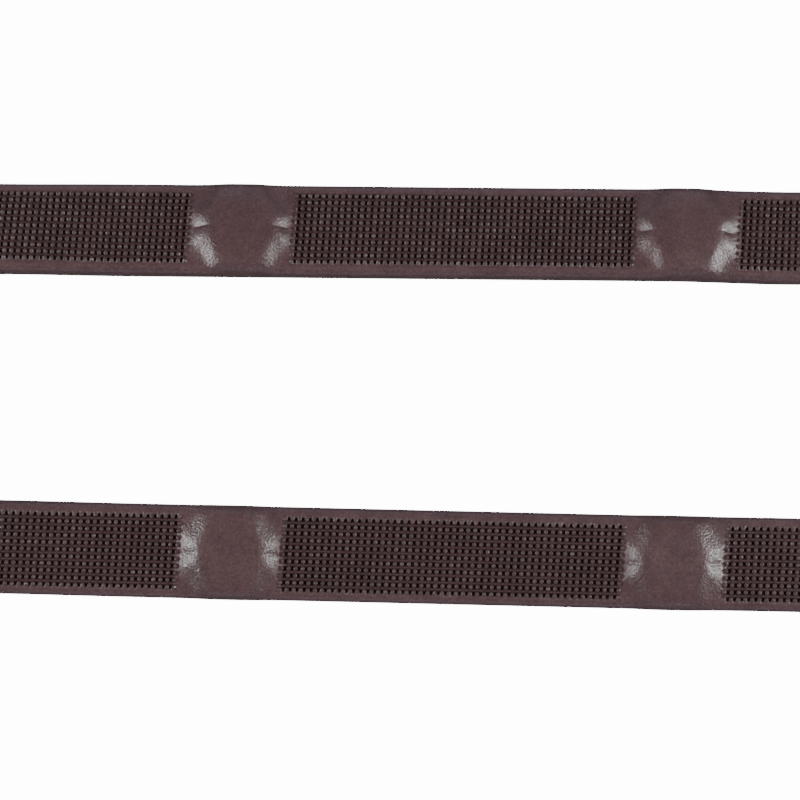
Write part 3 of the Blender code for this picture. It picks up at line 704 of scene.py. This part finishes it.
def stop_centres(route):
    return [route.marks["grip_start"] + STOP_SPACING * (i + 1) for i in range(STOP_COUNT)]


def nearest_stop(route, s):
    return np.min([np.abs(s - centre) for centre in stop_centres(route)], axis=0)


def raise_stops(side, s, u, n):
    """Lifts the front of the rubber over the hand stops, with two soft bulges and a crease
    between them on each ramp."""
    half = GRIP_WIDTH / 2
    away = nearest_stop(ROUTES[side], s)
    crown = STOP_CROWN - STOP_PULL * (u / half) ** 2
    down = np.clip((away - crown) / (STOP_FOOT - crown), 0.0, 1.0)
    share = 1.0 - down + np.sin(2 * math.pi * down) / (2 * math.pi)
    out = np.minimum(np.abs(u) / (half + 0.05), 1.0)
    flat = np.sqrt(1.0 - out ** 3)
    dome = (1.0 - out ** 2) ** DOME_POWER
    across = dome + (flat - dome) * share ** 2
    aside = (np.abs(u) - BULGE_U) / BULGE_WIDTH
    round_top = np.where(aside < 0.0, 1.0 - BULGE_DIP * aside ** 2, np.exp(-(aside ** 2)))
    bulge = round_top * np.exp(-(((away - BULGE_AWAY) / BULGE_LENGTH) ** 2))
    crease = np.exp(-((u / CREASE_WIDTH) ** 2))
    crease = crease * np.exp(-(((away - CREASE_AWAY) / BULGE_LENGTH) ** 4))
    raised = n + STOP_RISE * share * across + BULGE_HEIGHT[side] * bulge - CREASE_DEPTH * crease
    return u * (1.0 + SKIN_SWELL / half * share), raised


def corner_line(sign):
    """The rubber's rounded edge, from the middle of its side to the face, as (u, n)."""
    half = GRIP_WIDTH / 2
    centre = (half - GRIP_CORNER, RUBBER_BASE - GRIP_CORNER)
    line = [(half, 0.0), (half, 0.9 * centre[1]), *arc(centre, GRIP_CORNER, 0.0, 90.0, 5)[1:]]
    if sign < 0:
        line = [(-u, n) for u, n in reversed(line)]
    return line


def lattice_lines(rows, pitch, middle):
    """Lines at every half row from one side of a block of rows to the other."""
    top = middle + rows * pitch / 2
    return [(top - i * pitch / 2, RUBBER_BASE) for i in range(2 * rows + 1)]


def face_profile(face, pitch):
    """One face's outline across the rubber, as (u, n), and the first line of each row of pimples.
    The back has a plain band down its middle, where the rubber's two edges meet in a seam."""
    if face == "front":
        blocks = [(FRONT_ROWS, 0.0, [])]
    else:
        aside = BACK_MARGIN + BACK_ROWS * pitch / 2
        seam = [(u, RUBBER_BASE + lift) for u, lift in SEAM]
        seam += [(-u, n) for u, n in reversed(seam)]
        blocks = [(BACK_ROWS, aside, seam), (BACK_ROWS, -aside, [])]
    lines = corner_line(1)
    starts = []
    for rows, middle, after in blocks:
        starts += [len(lines) + 2 * k for k in range(rows)]
        lines += lattice_lines(rows, pitch, middle) + after
    return lines + corner_line(-1), starts


def pimple_template():
    """A pimple's rings round the middle of its cell, as (along, across, up) in millimetres."""
    points = []
    for radius, height in ((PIMPLE_RADIUS, 0.0), (PIMPLE_WALL, 0.70 * PIMPLE_HEIGHT)):
        points += [(*place, height) for place in arc((0.0, 0.0), radius, 0.0, 315.0, 7)]
    return np.array([*points, (0.0, 0.0, PIMPLE_HEIGHT)])


def pimple_faces(rim, first):
    """rim: the eight grid points round a cell; first: the pimple's own first point."""
    faces = []
    for k in range(8):
        j = (k + 1) % 8
        faces.append((rim[k], rim[j], first + j, first + k))
        faces.append((first + k, first + j, first + 8 + j, first + 8 + k))
        faces.append((first + 8 + k, first + 8 + j, first + 16))
    return faces


def split_faces(flat, fine, wide, first):
    """Faces for the plain cells.  The fine ones are split, and their neighbours take up the
    points on the shared edges.  Also gives the new points' places on the grid."""
    extra = []
    edges = {}

    def between(a, b):
        low, high = min(a, b), max(a, b)
        if (low, high) not in edges:
            edges[low, high] = []
            for k in range(1, RAMP_PARTS):
                share = k / RAMP_PARTS
                edges[low, high].append(first + len(extra))
                extra.append(tuple(p + share * (q - p) for p, q in zip(low, high)))
        found = edges[low, high]
        return found if a < b else found[::-1]

    faces = []
    for i, j in np.argwhere(fine).tolist():
        table = []
        for k in range(RAMP_PARTS + 1):
            if k in (0, RAMP_PARTS):
                row = i + k // RAMP_PARTS
                middle = between((row, j), (row, j + 1))
                ends = (row * wide + j, row * wide + j + 1)
            else:
                ends = [between((i, c), (i + 1, c))[k - 1] for c in (j, j + 1)]
                middle = list(range(first + len(extra), first + len(extra) + RAMP_PARTS - 1))
                extra += [(i + k / RAMP_PARTS, j + m / RAMP_PARTS) for m in range(1, RAMP_PARTS)]
            table.append([ends[0], *middle, ends[1]])
        for near, far in zip(table, table[1:]):
            for c in range(RAMP_PARTS):
                faces.append((near[c], near[c + 1], far[c + 1], far[c]))
    for i, j in np.argwhere(flat & ~fine).tolist():
        corners = [(i, j), (i, j + 1), (i + 1, j + 1), (i + 1, j)]
        face = []
        for a, b in zip(corners, corners[1:] + corners[:1]):
            face.append(a[0] * wide + a[1])
            if (min(a, b), max(a, b)) in edges:
                face += between(a, b)
        faces.append(tuple(face))
    return faces, extra


def make_grip_half(side, face):
    """The front or the back of a rubber grip, with its pimples, as one surface."""
    route = ROUTES[side]
    lattice = LATTICE[side]
    columns = round(GRIP_LENGTH / STOP_SPACING) * lattice["columns"]
    step = GRIP_LENGTH / columns / 2
    front = face == "front"
    lines, rows = face_profile(face, lattice["row_pitch"])
    wide = len(lines)
    start = route.marks["grip_start"]
    along = start + step * np.arange(2 * columns + 1)
    u_line, n_line = np.array(lines).T
    s_grid, u_grid = np.meshgrid(along, u_line, indexing="ij")
    n_grid = np.broadcast_to(n_line, s_grid.shape).copy()

    def from_end(s):
        return np.minimum(s - start, start + GRIP_LENGTH - s)

    def shaped(s, u, n, lift):
        """Leans the columns, tapers the grip's ends, raises the stops and maps to the layout."""
        end = from_end(s)
        leaned = s + COLUMN_LEAN * u * ease((end - 1.0) / LEAN_REACH)
        n = n * (END_SHARE + (1.0 - END_SHARE) * ease(end / END_TAPER))
        if front:
            u, n = raise_stops(side, leaned, u, n)
        n = n + lift
        return route.points(leaned, u, n if front else -n)

    # The cells that hold a pimple: two half columns by two half rows, from their first corner.
    smooth_reach = lattice["smooth"] * step
    pimpled = set()
    for i in range(lattice["smooth"] % 2, 2 * columns - 1, 2):
        middle = along[i + 1]
        plain = front and nearest_stop(route, middle) < smooth_reach
        if from_end(middle) > END_MARGIN and not plain:
            pimpled.update((i, j) for j in rows)
    flat = np.ones((2 * columns, wide - 1), bool)
    for i, j in pimpled:
        flat[i:i + 2, j:j + 2] = False

    # The floor of the field, with a low rib between the rows.
    inside = np.zeros(s_grid.shape, bool)
    inside[1:-1, 1:-1] = ~(flat[:-1, :-1] | flat[1:, :-1] | flat[:-1, 1:] | flat[1:, 1:])
    between = np.zeros(s_grid.shape, bool)
    for j in rows:
        between[:, [j, j + 2]] = True
    n_grid[inside] = FIELD_FLOOR
    n_grid[inside & between] = FIELD_FLOOR + RIB_HEIGHT
    # Painted shade on the field's floor: full in the gaps between the pimples, a quarter on the
    # ribs between the rows, none elsewhere.
    painted_gap_shade = np.where(inside, np.where(between, RIB_SHADE, 1.0), 0.0)
    points = shaped(s_grid, u_grid, n_grid, 0.0).reshape(-1, 3)

    # The pimples.  Where one stands at the field's border, its foot is level with the border.
    template = pimple_template()
    place = sorted(pimpled)
    s = np.array([along[i + 1] for i, _ in place])[:, None] + template[None, :, 0]
    u = np.array([u_line[j + 1] for _, j in place])[:, None] + template[None, :, 1]
    lift = np.tile(template[:, 2], (len(place), 1))
    # Painted shade on each pimple: darkest at its foot along the strap, less across it, faint on
    # its wall and none on its top; at the field's border the foot's outer side takes the wall's
    # shade.
    shades = np.tile((*FOOT_SHADES, *FOOT_SHADES, *[WALL_SHADE] * 8, 0.0), (len(place), 1))
    for di, dj in ((2, 0), (-2, 0), (0, -2), (0, 2)):
        way = (di * template[:8, 0] - dj * template[:8, 1]) / 2
        alone = np.array([(i + di, j + dj) not in pimpled for i, j in place])
        border = np.ix_(alone, np.flatnonzero(way > 0.2))
        lift[border] = RUBBER_BASE - FIELD_FLOOR - BORDER_DIP
        shades[border] = WALL_SHADE
    rings = shaped(s, u, np.full(s.shape, FIELD_FLOOR), lift).reshape(-1, 3)
    faces = []
    for k, (i, j) in enumerate(place):
        a = i * wide + j
        b = a + wide
        c = b + wide
        rim = (c + 1, c, b, a, a + 1, a + 2, b + 2, c + 2)
        faces += pimple_faces(rim, len(points) + len(template) * k)
    points = np.concatenate([points, rings])

    rim_points, rim_quads = sleeve_rims(route, along, lines, front, len(points))
    points = np.concatenate([points, rim_points])
    faces += rim_quads

    # The plain cells, which are finer on the ramps of the stops.
    fine = np.zeros(flat.shape, bool)
    if front:
        middles = nearest_stop(route, along[:-1] + step / 2)
        fine[(middles > FINE_REACH[0]) & (middles < FINE_REACH[1])] = True
        fine[:, [0, 1, -2, -1]] = False
        fine[1:-1] &= flat[:-2] & flat[2:]
        fine[:, 1:-1] &= flat[:, :-2] & flat[:, 2:]
        fine &= flat
    plain_faces, extra = split_faces(flat, fine, wide, len(points))
    if extra:
        i_part, j_part = np.array(extra).T
        extra_u, extra_n = (np.interp(j_part, np.arange(wide), line) for line in (u_line, n_line))
        points = np.concatenate([points, shaped(start + step * i_part, extra_u, extra_n, 0.0)])
    faces += plain_faces
    if not front:
        faces = [tuple(reversed(f)) for f in faces]
    # The painted shade of every point, with none on the added points.
    shade = np.concatenate([painted_gap_shade.ravel(), shades.ravel()])
    shade = np.pad(shade, (0, len(points) - len(shade)))
    name, nodes = f"{side}_grip_{face}", [f"{side}_rubber_grip"]
    new_piece(name, points, faces, RUBBER, "reins", nodes, {"painted_gap_shade": shade})


def sleeve_rims(route, along, lines, front, first):
    """The sleeve's cut ends, from its outline in to the strap."""
    wide = len(lines)
    half = STRAP_WIDTH / 2 + SLEEVE_GAP
    deep = STRAP_THICKNESS / 2 + SLEEVE_GAP
    u = np.array([min(max(a, -half), half) for a, _ in lines])
    n = np.array([min(b, deep) for _, b in lines])
    points = []
    faces = []
    for number, row in enumerate((0, len(along) - 1)):
        s = np.full(wide, along[row])
        points.append(route.points(s, u, n if front else -n))
        for c in range(wide - 1):
            a = row * wide + c
            b = first + number * wide + c
            quad = (a, a + 1, b + 1, b)
            faces.append(tuple(reversed(quad)) if number == 0 else quad)
    return np.concatenate(points), faces


# ---------- leather

def leather_profile(half, deep):
    """The strap's outline with burnished edges and a creased line near each, as (u, n, edge)."""
    quarter = [
        (half - 2.1, deep, 0.0),
        (half - 1.75, deep, 0.0),
        (half - 1.5, deep - 0.11, 0.6),
        (half - 1.25, deep, 0.0),
        (half - 0.75, deep - 0.03, 0.15),
        (half - 0.35, deep - 0.16, 0.7),
        (half - 0.1, deep - 0.42, 1.0),
        (half, deep - 0.8, 1.0),
    ]
    middle = [(half * share, deep + 0.03, 0.0) for share in (0.0, 0.45)]
    right = middle + quarter
    right += [(u, -n, e) for u, n, e in reversed(quarter)]
    right += [(u, -n, e) for u, n, e in reversed(middle)]
    left = [(-u, n, e) for u, n, e in reversed(right)]
    return right + left[1:-1]


def sweep_leather(name, nodes, side, stations, size, body):
    """A leather strap along a route; size(s) gives its half width and half thickness."""
    rows = np.array([leather_profile(*size(s)) for s in stations])
    u, n, edge = np.moveaxis(rows, 2, 0)
    s = np.repeat(np.asarray(stations)[:, None], rows.shape[1], axis=1)
    points = ROUTES[side].points(s, u, n).reshape(-1, 3)
    edge[0] = edge[-1] = 1.0
    faces = tube_faces(*s.shape)
    values = {"edge": edge.ravel()}
    return new_piece(name, points, faces, LEATHER, body, nodes, values, 50.0)


def tip_half_width(reach):
    """Half the width of a rounded tip, at a distance from its end."""
    share = math.sqrt(max(min(reach / POINT_LENGTH, 1.0), 0.0))
    return (POINT_TIP_WIDTH + (STRAP_WIDTH - POINT_TIP_WIDTH) * share) / 2


def strap_size(side, s):
    """Half width and half thickness: skived at the chape or the point, full elsewhere."""
    marks = ROUTES[side].marks
    if side == "left":
        start = marks["fold_done"]
        share = ease((s - start) / (marks["full_thickness"] - start))
        thin = CHAPE_THICKNESS
        half = STRAP_WIDTH / 2 - CHAPE_NARROWED * (1.0 - share)
    else:
        share = ease((s - POINT_SKIVED) / SKIVE_LENGTH)
        thin = POINT_THICKNESS
        half = tip_half_width(s)
    thick = thin + (STRAP_THICKNESS - thin) * share
    to_billet = ease((s - marks["fold_start"] + BILLET_SKIVE) / BILLET_SKIVE)
    return half, (thick - (STRAP_THICKNESS - BILLET_THICKNESS) * to_billet) / 2


def stations_between(start, end, step, fine=()):
    """Evenly spaced lengths, with the fine ones added."""
    count = max(2, round((end - start) / step))
    return sorted({*np.linspace(start, end, count + 1).tolist(), *fine})


def make_strap(side):
    route = ROUTES[side]
    end = route.marks["fold_start"] - CLEARANCE / 2
    grip = route.marks["grip_start"]
    stations = stations_between(0.0, grip + 6.0, 1.6, TIP_STATIONS if side == "right" else ())
    stations += stations_between(grip + 9.0, grip + GRIP_LENGTH - 9.0, 3.0)
    stations += stations_between(grip + GRIP_LENGTH - 6.0, end, 1.8)
    names = (f"{side}_rein_leather", [f"{side}_rein_strap"])
    strap = sweep_leather(*names, side, stations, partial(strap_size, side), "reins")
    if side == "left":
        cut_slot(strap, CHAPE_SLOT, CHAPE_SLOT_HALF, (-6.0, 4.6), buckle_place)
        return
    cut_slot(strap, POINT_SLOT, POINT_SLOT_HALF, (-1.0, 12.0), buckle_place)
    for u in SPARE_HOLES:
        reach = (u - SPARE_HOLE_REACH, u + SPARE_HOLE_REACH)
        cut_slot(strap, reach, POINT_SLOT_HALF, (2.9, 12.0), buckle_place)


def make_bit_loop(side):
    """The folded leather round the bit."""
    marks = ROUTES[side].marks
    start = marks["fold_start"] - CLEARANCE / 2
    end = marks["fold_end"] + CLEARANCE / 2
    stations = stations_between(start, end, 0.8)
    size = (STRAP_WIDTH / 2, BILLET_THICKNESS / 2)
    names = (f"{side}_bit_fold", [f"{side}_bit_loop"])
    loop = sweep_leather(*names, side, stations, lambda s: size, None)
    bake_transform(loop)


def make_billet_tip(side):
    route = ROUTES[side]
    start = route.marks["fold_end"] + CLEARANCE / 2
    end = float(route.lengths[-1])

    def size(s):
        return tip_half_width(end - s), BILLET_THICKNESS / 2

    stations = stations_between(start, end, 1.4, [end - d for d in TIP_STATIONS])
    names = (f"{side}_tip_leather", [f"{side}_billet_tip"])
    tip = sweep_leather(*names, side, stations, size, f"{side}_tip")
    reach = (STUD_V + TIP_SLOT[0], STUD_V + TIP_SLOT[1])
    cut_slot(tip, reach, TIP_SLOT_HALF, (0.0, 10.0), partial(billet_place, side))


def cut_slot(target, reach, half, depth, place):
    """Cuts a slot with round ends through a strap with a Boolean, and applies it."""
    low, high = reach
    outline = arc((high - half, 0.0), half, -90.0, 90.0, 10)
    outline += arc((low + half, 0.0), half, 90.0, 270.0, 10)
    points = [place(a, c, b) for c in depth for a, b in outline]
    mesh = new_mesh("slot", points, tube_faces(2, len(outline)))
    face_out(mesh)
    cutter = in_scene("slot", mesh)
    boolean = target.modifiers.new("slot", "BOOLEAN")
    boolean.operation = "DIFFERENCE"
    boolean.solver = "EXACT"
    boolean.object = cutter
    found = target.evaluated_get(bpy.context.evaluated_depsgraph_get())
    made = bpy.data.meshes.new_from_object(found)
    target.modifiers.clear()
    target.data = made
    bpy.data.objects.remove(cutter, do_unlink=True)


# ---------- stitches

def thread_points(start, end, out):
    """A short stitch of thread from start to end, bulging out of the surface between its holes."""
    side = np.cross(unit(end - start), out)
    points = []
    for share, size, height in (
        (0.0, 0.35, -STITCH_DIP),
        (0.18, 0.9, 0.0),
        (0.5, 1.0, 0.35 * STITCH_RADIUS),
        (0.82, 0.9, 0.0),
        (1.0, 0.35, -STITCH_DIP),
    ):
        middle = start + (end - start) * share + out * height
        for k in range(6):
            a = math.radians(60.0 * k)
            points.append(middle + (out * math.cos(a) + side * math.sin(a)) * STITCH_RADIUS * size)
    return points


def stitch_row(side, s_ends, u_ends, n, pitch):
    """The stitches between two points of a strap, on its face at height n."""
    route = ROUTES[side]
    (s_first, s_last), (u_first, u_last) = s_ends, u_ends
    count = int(max(s_last - s_first, u_last - u_first) / pitch)

    def at(share):
        t = (np.arange(count) + share) / count
        return s_first + (s_last - s_first) * t, u_first + (u_last - u_first) * t

    level = np.full(count, n)
    starts = route.points(*at(0.0), level)
    ends = route.points(*at(STITCH_SHARE), level)
    outs = route.at(at(STITCH_SHARE / 2)[0])[2] * math.copysign(1.0, n)
    return list(zip(starts, ends, outs))


def make_stitching(name, rows):
    points = []
    faces = []
    for row in rows:
        for start, end, out in row:
            faces += tube_faces(5, 6, start=len(points))
            points += thread_points(start, end, out)
    new_piece(name, np.array(points), faces, THREAD, "reins")


def sew_grip(side):
    """Both ends of a grip, and the seam down its back."""
    start = ROUTES[side].marks["grip_start"]
    end = start + GRIP_LENGTH
    level = RUBBER_BASE - 0.02
    rows = []
    across = (-END_ROW_HALF, END_ROW_HALF)
    for s in (start + END_ROW, end - END_ROW):
        for n in (level, -level):
            rows.append(stitch_row(side, (s, s), across, n, END_PITCH))
    inset = (start + SEAM_INSET, end - SEAM_INSET)
    for u in SEAM_ROW_U:
        rows.append(stitch_row(side, inset, (u, u), -level, SEAM_PITCH))
    make_stitching(f"{side}_grip_stitching", rows)


def sew_billet(side):
    """Two rows on both faces of the billet, round its stud."""
    reach = [ROUTES[side].marks["fold_start"] + v for v in BILLET_SEWN]
    level = STRAP_THICKNESS / 2 - 0.22
    rows = []
    for u in SEWN_U:
        for n in (level, -level):
            rows.append(stitch_row(side, reach, (u, u), n, SEWN_PITCH))
    make_stitching(f"{side}_billet_stitching", rows)


def sew_chape():
    """The chape that holds the buckle, sewn through the strap."""
    reach = [ROUTES["left"].marks["full_thickness"] + s for s in STRAP_SEWN]
    rows = []
    for u in SEWN_U:
        for ends, level in (
            (reach, -STRAP_THICKNESS / 2 + 0.06),
            (CHAPE_SEWN, -CHAPE_THICKNESS / 2 + 0.02),
        ):
            rows.append(stitch_row("left", ends, (u, u), level, SEWN_PITCH))
    make_stitching("chape_stitching", rows)


# ---------- keepers and ties

def rounded_outline(low, high, half, corner, steps):
    """A rounded rectangle from low to high in n and from -half to half in z."""
    outline = []
    for n, z, start in (
        (high - corner, half - corner, 0.0),
        (low + corner, half - corner, 90.0),
        (low + corner, -half + corner, 180.0),
        (high - corner, -half + corner, 270.0),
    ):
        outline += arc((n, z), corner, start, start + 90.0, steps)
    return outline


def resample(outline, count):
    """The same closed outline with evenly spaced points."""
    loop = np.array(outline + outline[:1])
    run = np.concatenate([[0.0], np.cumsum(np.linalg.norm(np.diff(loop, axis=0), axis=1))])
    at = np.linspace(0.0, run[-1], count, endpoint=False)
    return np.column_stack([np.interp(at, run, c) for c in loop.T])


def make_band(name, node, body, place, at, inner, kind):
    """A closed band with rounded edges.  place(along, n, z) gives its points, at is its middle
    along, and inner is its opening: low and high in n, and half its z."""
    low, high, half = inner
    thickness, width, ribs, finish, slot = kind
    grown = (low - thickness, high + thickness, half + thickness)
    outer = resample(rounded_outline(*grown, BAND_CORNER, 6), BAND_POINTS)
    inside = resample(rounded_outline(*inner, BAND_INNER_CORNER, 4), BAND_POINTS)
    # The band's own cross-section, as shares of its thickness and half width, and its edge value.
    cut = [(0.0, 0.93, 1.0), *((share, 1.0, 1.0) for share in (0.16, 0.5, 0.84)), (0.97, 0.93, 0.6)]
    section = list(cut)
    lifts = [*[1.0, 0.9] * ribs, 1.0] if ribs else [0.93, 1.0, 1.0, 1.0, 0.93]
    for step, lift in enumerate(lifts):
        section.append((lift, 0.84 - 1.68 * step / (len(lifts) - 1), 0.0))
    section += [(share, -across, value) for share, across, value in reversed(cut)]
    points = []
    edge = []
    for share, across, value in section:
        ring = inside * (1.0 - share) + outer * share
        points += [place(at + across * width / 2, n, z) for n, z in ring]
        edge += [value] * BAND_POINTS
    faces = tube_faces(len(section), BAND_POINTS, ring=True)
    made = new_piece(name, np.array(points), faces, finish, body, [node], {"edge": edge})
    face_out(made.data)


def make_keepers():
    half = STRAP_WIDTH / 2 + CLEARANCE
    for *names, at in (
        ("fixed_keeper", "buckle_fixed_keeper", "reins", FIXED_KEEPER_U),
        ("runner_keeper", "buckle_runner", "runner", RUNNER_U),
    ):
        make_band(*names, buckle_place, at, (*KEEPER_INNER, half), KEEPER)
    inner = (*BILLET_KEEPER_INNER, half)
    for side in SIDES:
        names = (f"{side}_billet_runner", f"{side}_billet_keeper", f"{side}_keeper")
        make_band(*names, partial(billet_place, side), BILLET_KEEPER_V, inner, KEEPER)


def tie_place(side, x, n, z):
    return np.array((x, SIDES[side] * n, EDGE_HEIGHT + TIE_LIFT + z))


def make_ties():
    """The elastic bands round the hanks."""
    for side in SIDES:
        q = OPENS[side]["bit"]
        low = q - GRIP_THICKNESS / 2 - CLEARANCE
        high = q + BILLET_Q + STRAP_THICKNESS / 2 + 2.4
        inner = (low, high, GRIP_WIDTH / 2 + CLEARANCE)
        place = partial(tie_place, side)
        make_band(f"{side}_elastic_tie", f"{side}_hank_tie", "reins", place, TIE_X, inner, TIE)


# ---------- the buckle

def make_tube(name, path, sizes, axis, body, node, closed=False, sides=24):
    """A round or oval bar along points; axis is square to the plane that it bends in."""
    path = np.array(path)
    count = len(path)
    points = []
    for i, (across, deep) in enumerate(sizes):
        before = path[i - 1] if closed or i else path[0]
        after = path[(i + 1) % count] if closed or i < count - 1 else path[-1]
        face = unit(np.cross(axis, unit(after - before)))
        for k in range(sides):
            a = 2.0 * math.pi * k / sides
            points.append(path[i] + axis * across * math.cos(a) + face * deep * math.sin(a))
    faces = tube_faces(count, sides, ring=closed)
    points = np.array(points)
    made = new_piece(name, points, faces, STEEL, body, [node], sharp=60.0)
    face_out(made.data)


def make_buckle_frame():
    """A rounded rectangle of round wire, tilted outward about its heel bar."""
    path = [
        buckle_place(reach * math.cos(FRAME_TILT), reach * math.sin(FRAME_TILT), z)
        for reach, z in rounded_outline(0.0, FRAME_LENGTH, FRAME_HALF_WIDTH, FRAME_CORNER, 12)
    ]
    axis = np.array((math.cos(FRAME_TILT), -math.sin(FRAME_TILT), 0.0))
    sizes = [(BAR_RADIUS, BAR_RADIUS)] * len(path)
    make_tube("buckle_wire", path, sizes, axis, "reins", "buckle_frame", closed=True)


def make_buckle_tongue():
    """A strip wrapped round the heel bar, whose stem goes through the point and over the frame."""
    leave = 90.0 + TONGUE_TILT
    path = arc((0.0, 0.0), TONGUE_RING, leave + TONGUE_WRAP, leave, 30)
    sizes = [(TONGUE_HALF_WIDTH, TONGUE_THICKNESS / 2)] * len(path)
    root = path[-1]
    tilt = math.radians(TONGUE_TILT)
    for share, across, deep in (
        *((share, *sizes[0]) for share in (0.25, 0.5, 0.75)),
        (0.9, 1.22, 0.79),
        (0.96, 1.05, 0.7),
        (0.99, 0.75, 0.5),
        (1.0, 0.45, 0.3),
    ):
        reach = TONGUE_REACH * share
        path.append((root[0] + reach * math.cos(tilt), root[1] + reach * math.sin(tilt)))
        sizes.append((across, deep))
    up = np.array((0.0, 0.0, 1.0))
    places = [buckle_place(*p) for p in path]
    make_tube("buckle_prong", places, sizes, up, "tongue", "buckle_tongue")


def finish_cad_nodes():
    """The studs and their washers keep their CAD shape with softened edges; the hand stops keep
    theirs under the rubber."""
    for name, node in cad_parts.items():
        if node.hide_render:
            continue
        finish = STOP_LEATHER if "hand_stop" in name else STEEL
        node.data.materials.clear()
        node.data.materials.append(finish)
        if finish is STEEL:
            soft = node.modifiers.new("soft_edges", "BEVEL")
            soft.width = SOFT_EDGE
            soft.segments = 3
            soft.angle_limit = math.radians(35.0)


# ---------- floor, lights and camera

def make_floor():
    """A plain white floor, lit from below as a light table is, so that it shows white."""
    white = Shading(bpy.data.materials.new("white_floor"))
    mesh = bpy.data.meshes.new("floor")
    r = FLOOR_HALF
    corners = [(x, y, FLOOR_Z) for x, y in ((-r, -r), (r, -r), (r, r), (-r, r))]
    mesh.from_pydata(corners, [], [(0, 1, 2, 3)])
    mesh.materials.append(white.finish({
        "Base Color": (0.18, 0.18, 0.18),
        "Roughness": 0.9,
        "Specular IOR Level": 0.1,
        "Emission Color": WHITE,
        "Emission Strength": white.strength(FLOOR_SEEN, FLOOR_GLOW),
    }))
    floor = in_scene("floor", mesh)


def make_world():
    studio = Shading(bpy.data.worlds.new("studio"), "Background")
    bpy.context.scene.world = studio.finish({
        "Color": studio.mix(studio.seen(), COOL, WHITE),
        "Strength": studio.strength(WORLD_SEEN, WORLD_GLOW),
    })


def make_softbox(name, place, size, power, on_sheen=True, on_colour=True):
    """A softbox aimed at the middle of the view, for the sheen, for the colour or for both."""
    light = bpy.data.lights.new(name, "AREA")
    light.shape = "RECTANGLE"
    light.size, light.size_y = size
    light.energy = power
    light.color = COOL if name.startswith("fill") else WHITE
    made = in_scene(name, light)
    made.location = Vector((float(LAYOUT_SHIFT[0]) * MM, 0.0, 0.0)) + Vector(place)
    made.rotation_euler = (-Vector(place)).to_track_quat("-Z", "Y").to_euler()
    made.visible_camera = False
    made.visible_glossy = on_sheen
    made.visible_diffuse = on_colour


def make_lights():
    for side, sign in (("hand", 1.0), ("bit", -1.0)):
        key = ((0.50 * sign, 0.0, 0.70), (0.30, 0.50), KEY_POWER)
        sheen = ((0.80 * sign, 0.0, 0.28), (0.09, 0.09), SHEEN_POWER)
        fill = ((0.0, 0.95 * sign, 0.34), (1.30, 0.36), FILL_POWER)
        make_softbox(f"key_{side}", *key, on_sheen=False)
        make_softbox(f"sheen_{side}", *sheen, on_colour=False)
        make_softbox(f"fill_{side}", *fill)
    make_softbox("sheen_top", (0.0, 0.0, 1.0), (0.60, 0.60), TOP_POWER, on_colour=False)


def make_camera():
    camera = bpy.data.cameras.new("camera")
    camera.lens = LENS
    camera.sensor_width = SENSOR
    camera.clip_start = 0.02
    camera.clip_end = 60.0
    made = in_scene("camera", camera)
    made.location = in_metres((0.0, 0.0, VIEW_WIDTH * LENS / SENSOR + STRAP_HEIGHT))
    bpy.context.scene.camera = made


# ---------- the whole scene

make_camera()
for rein in SIDES:
    make_grip_half(rein, "front")
    make_grip_half(rein, "back")
    make_strap(rein)
    make_bit_loop(rein)
    make_billet_tip(rein)
    sew_grip(rein)
    sew_billet(rein)
sew_chape()
make_keepers()
make_ties()
make_buckle_frame()
make_buckle_tongue()
finish_cad_nodes()
make_floor()
make_world()
make_lights()
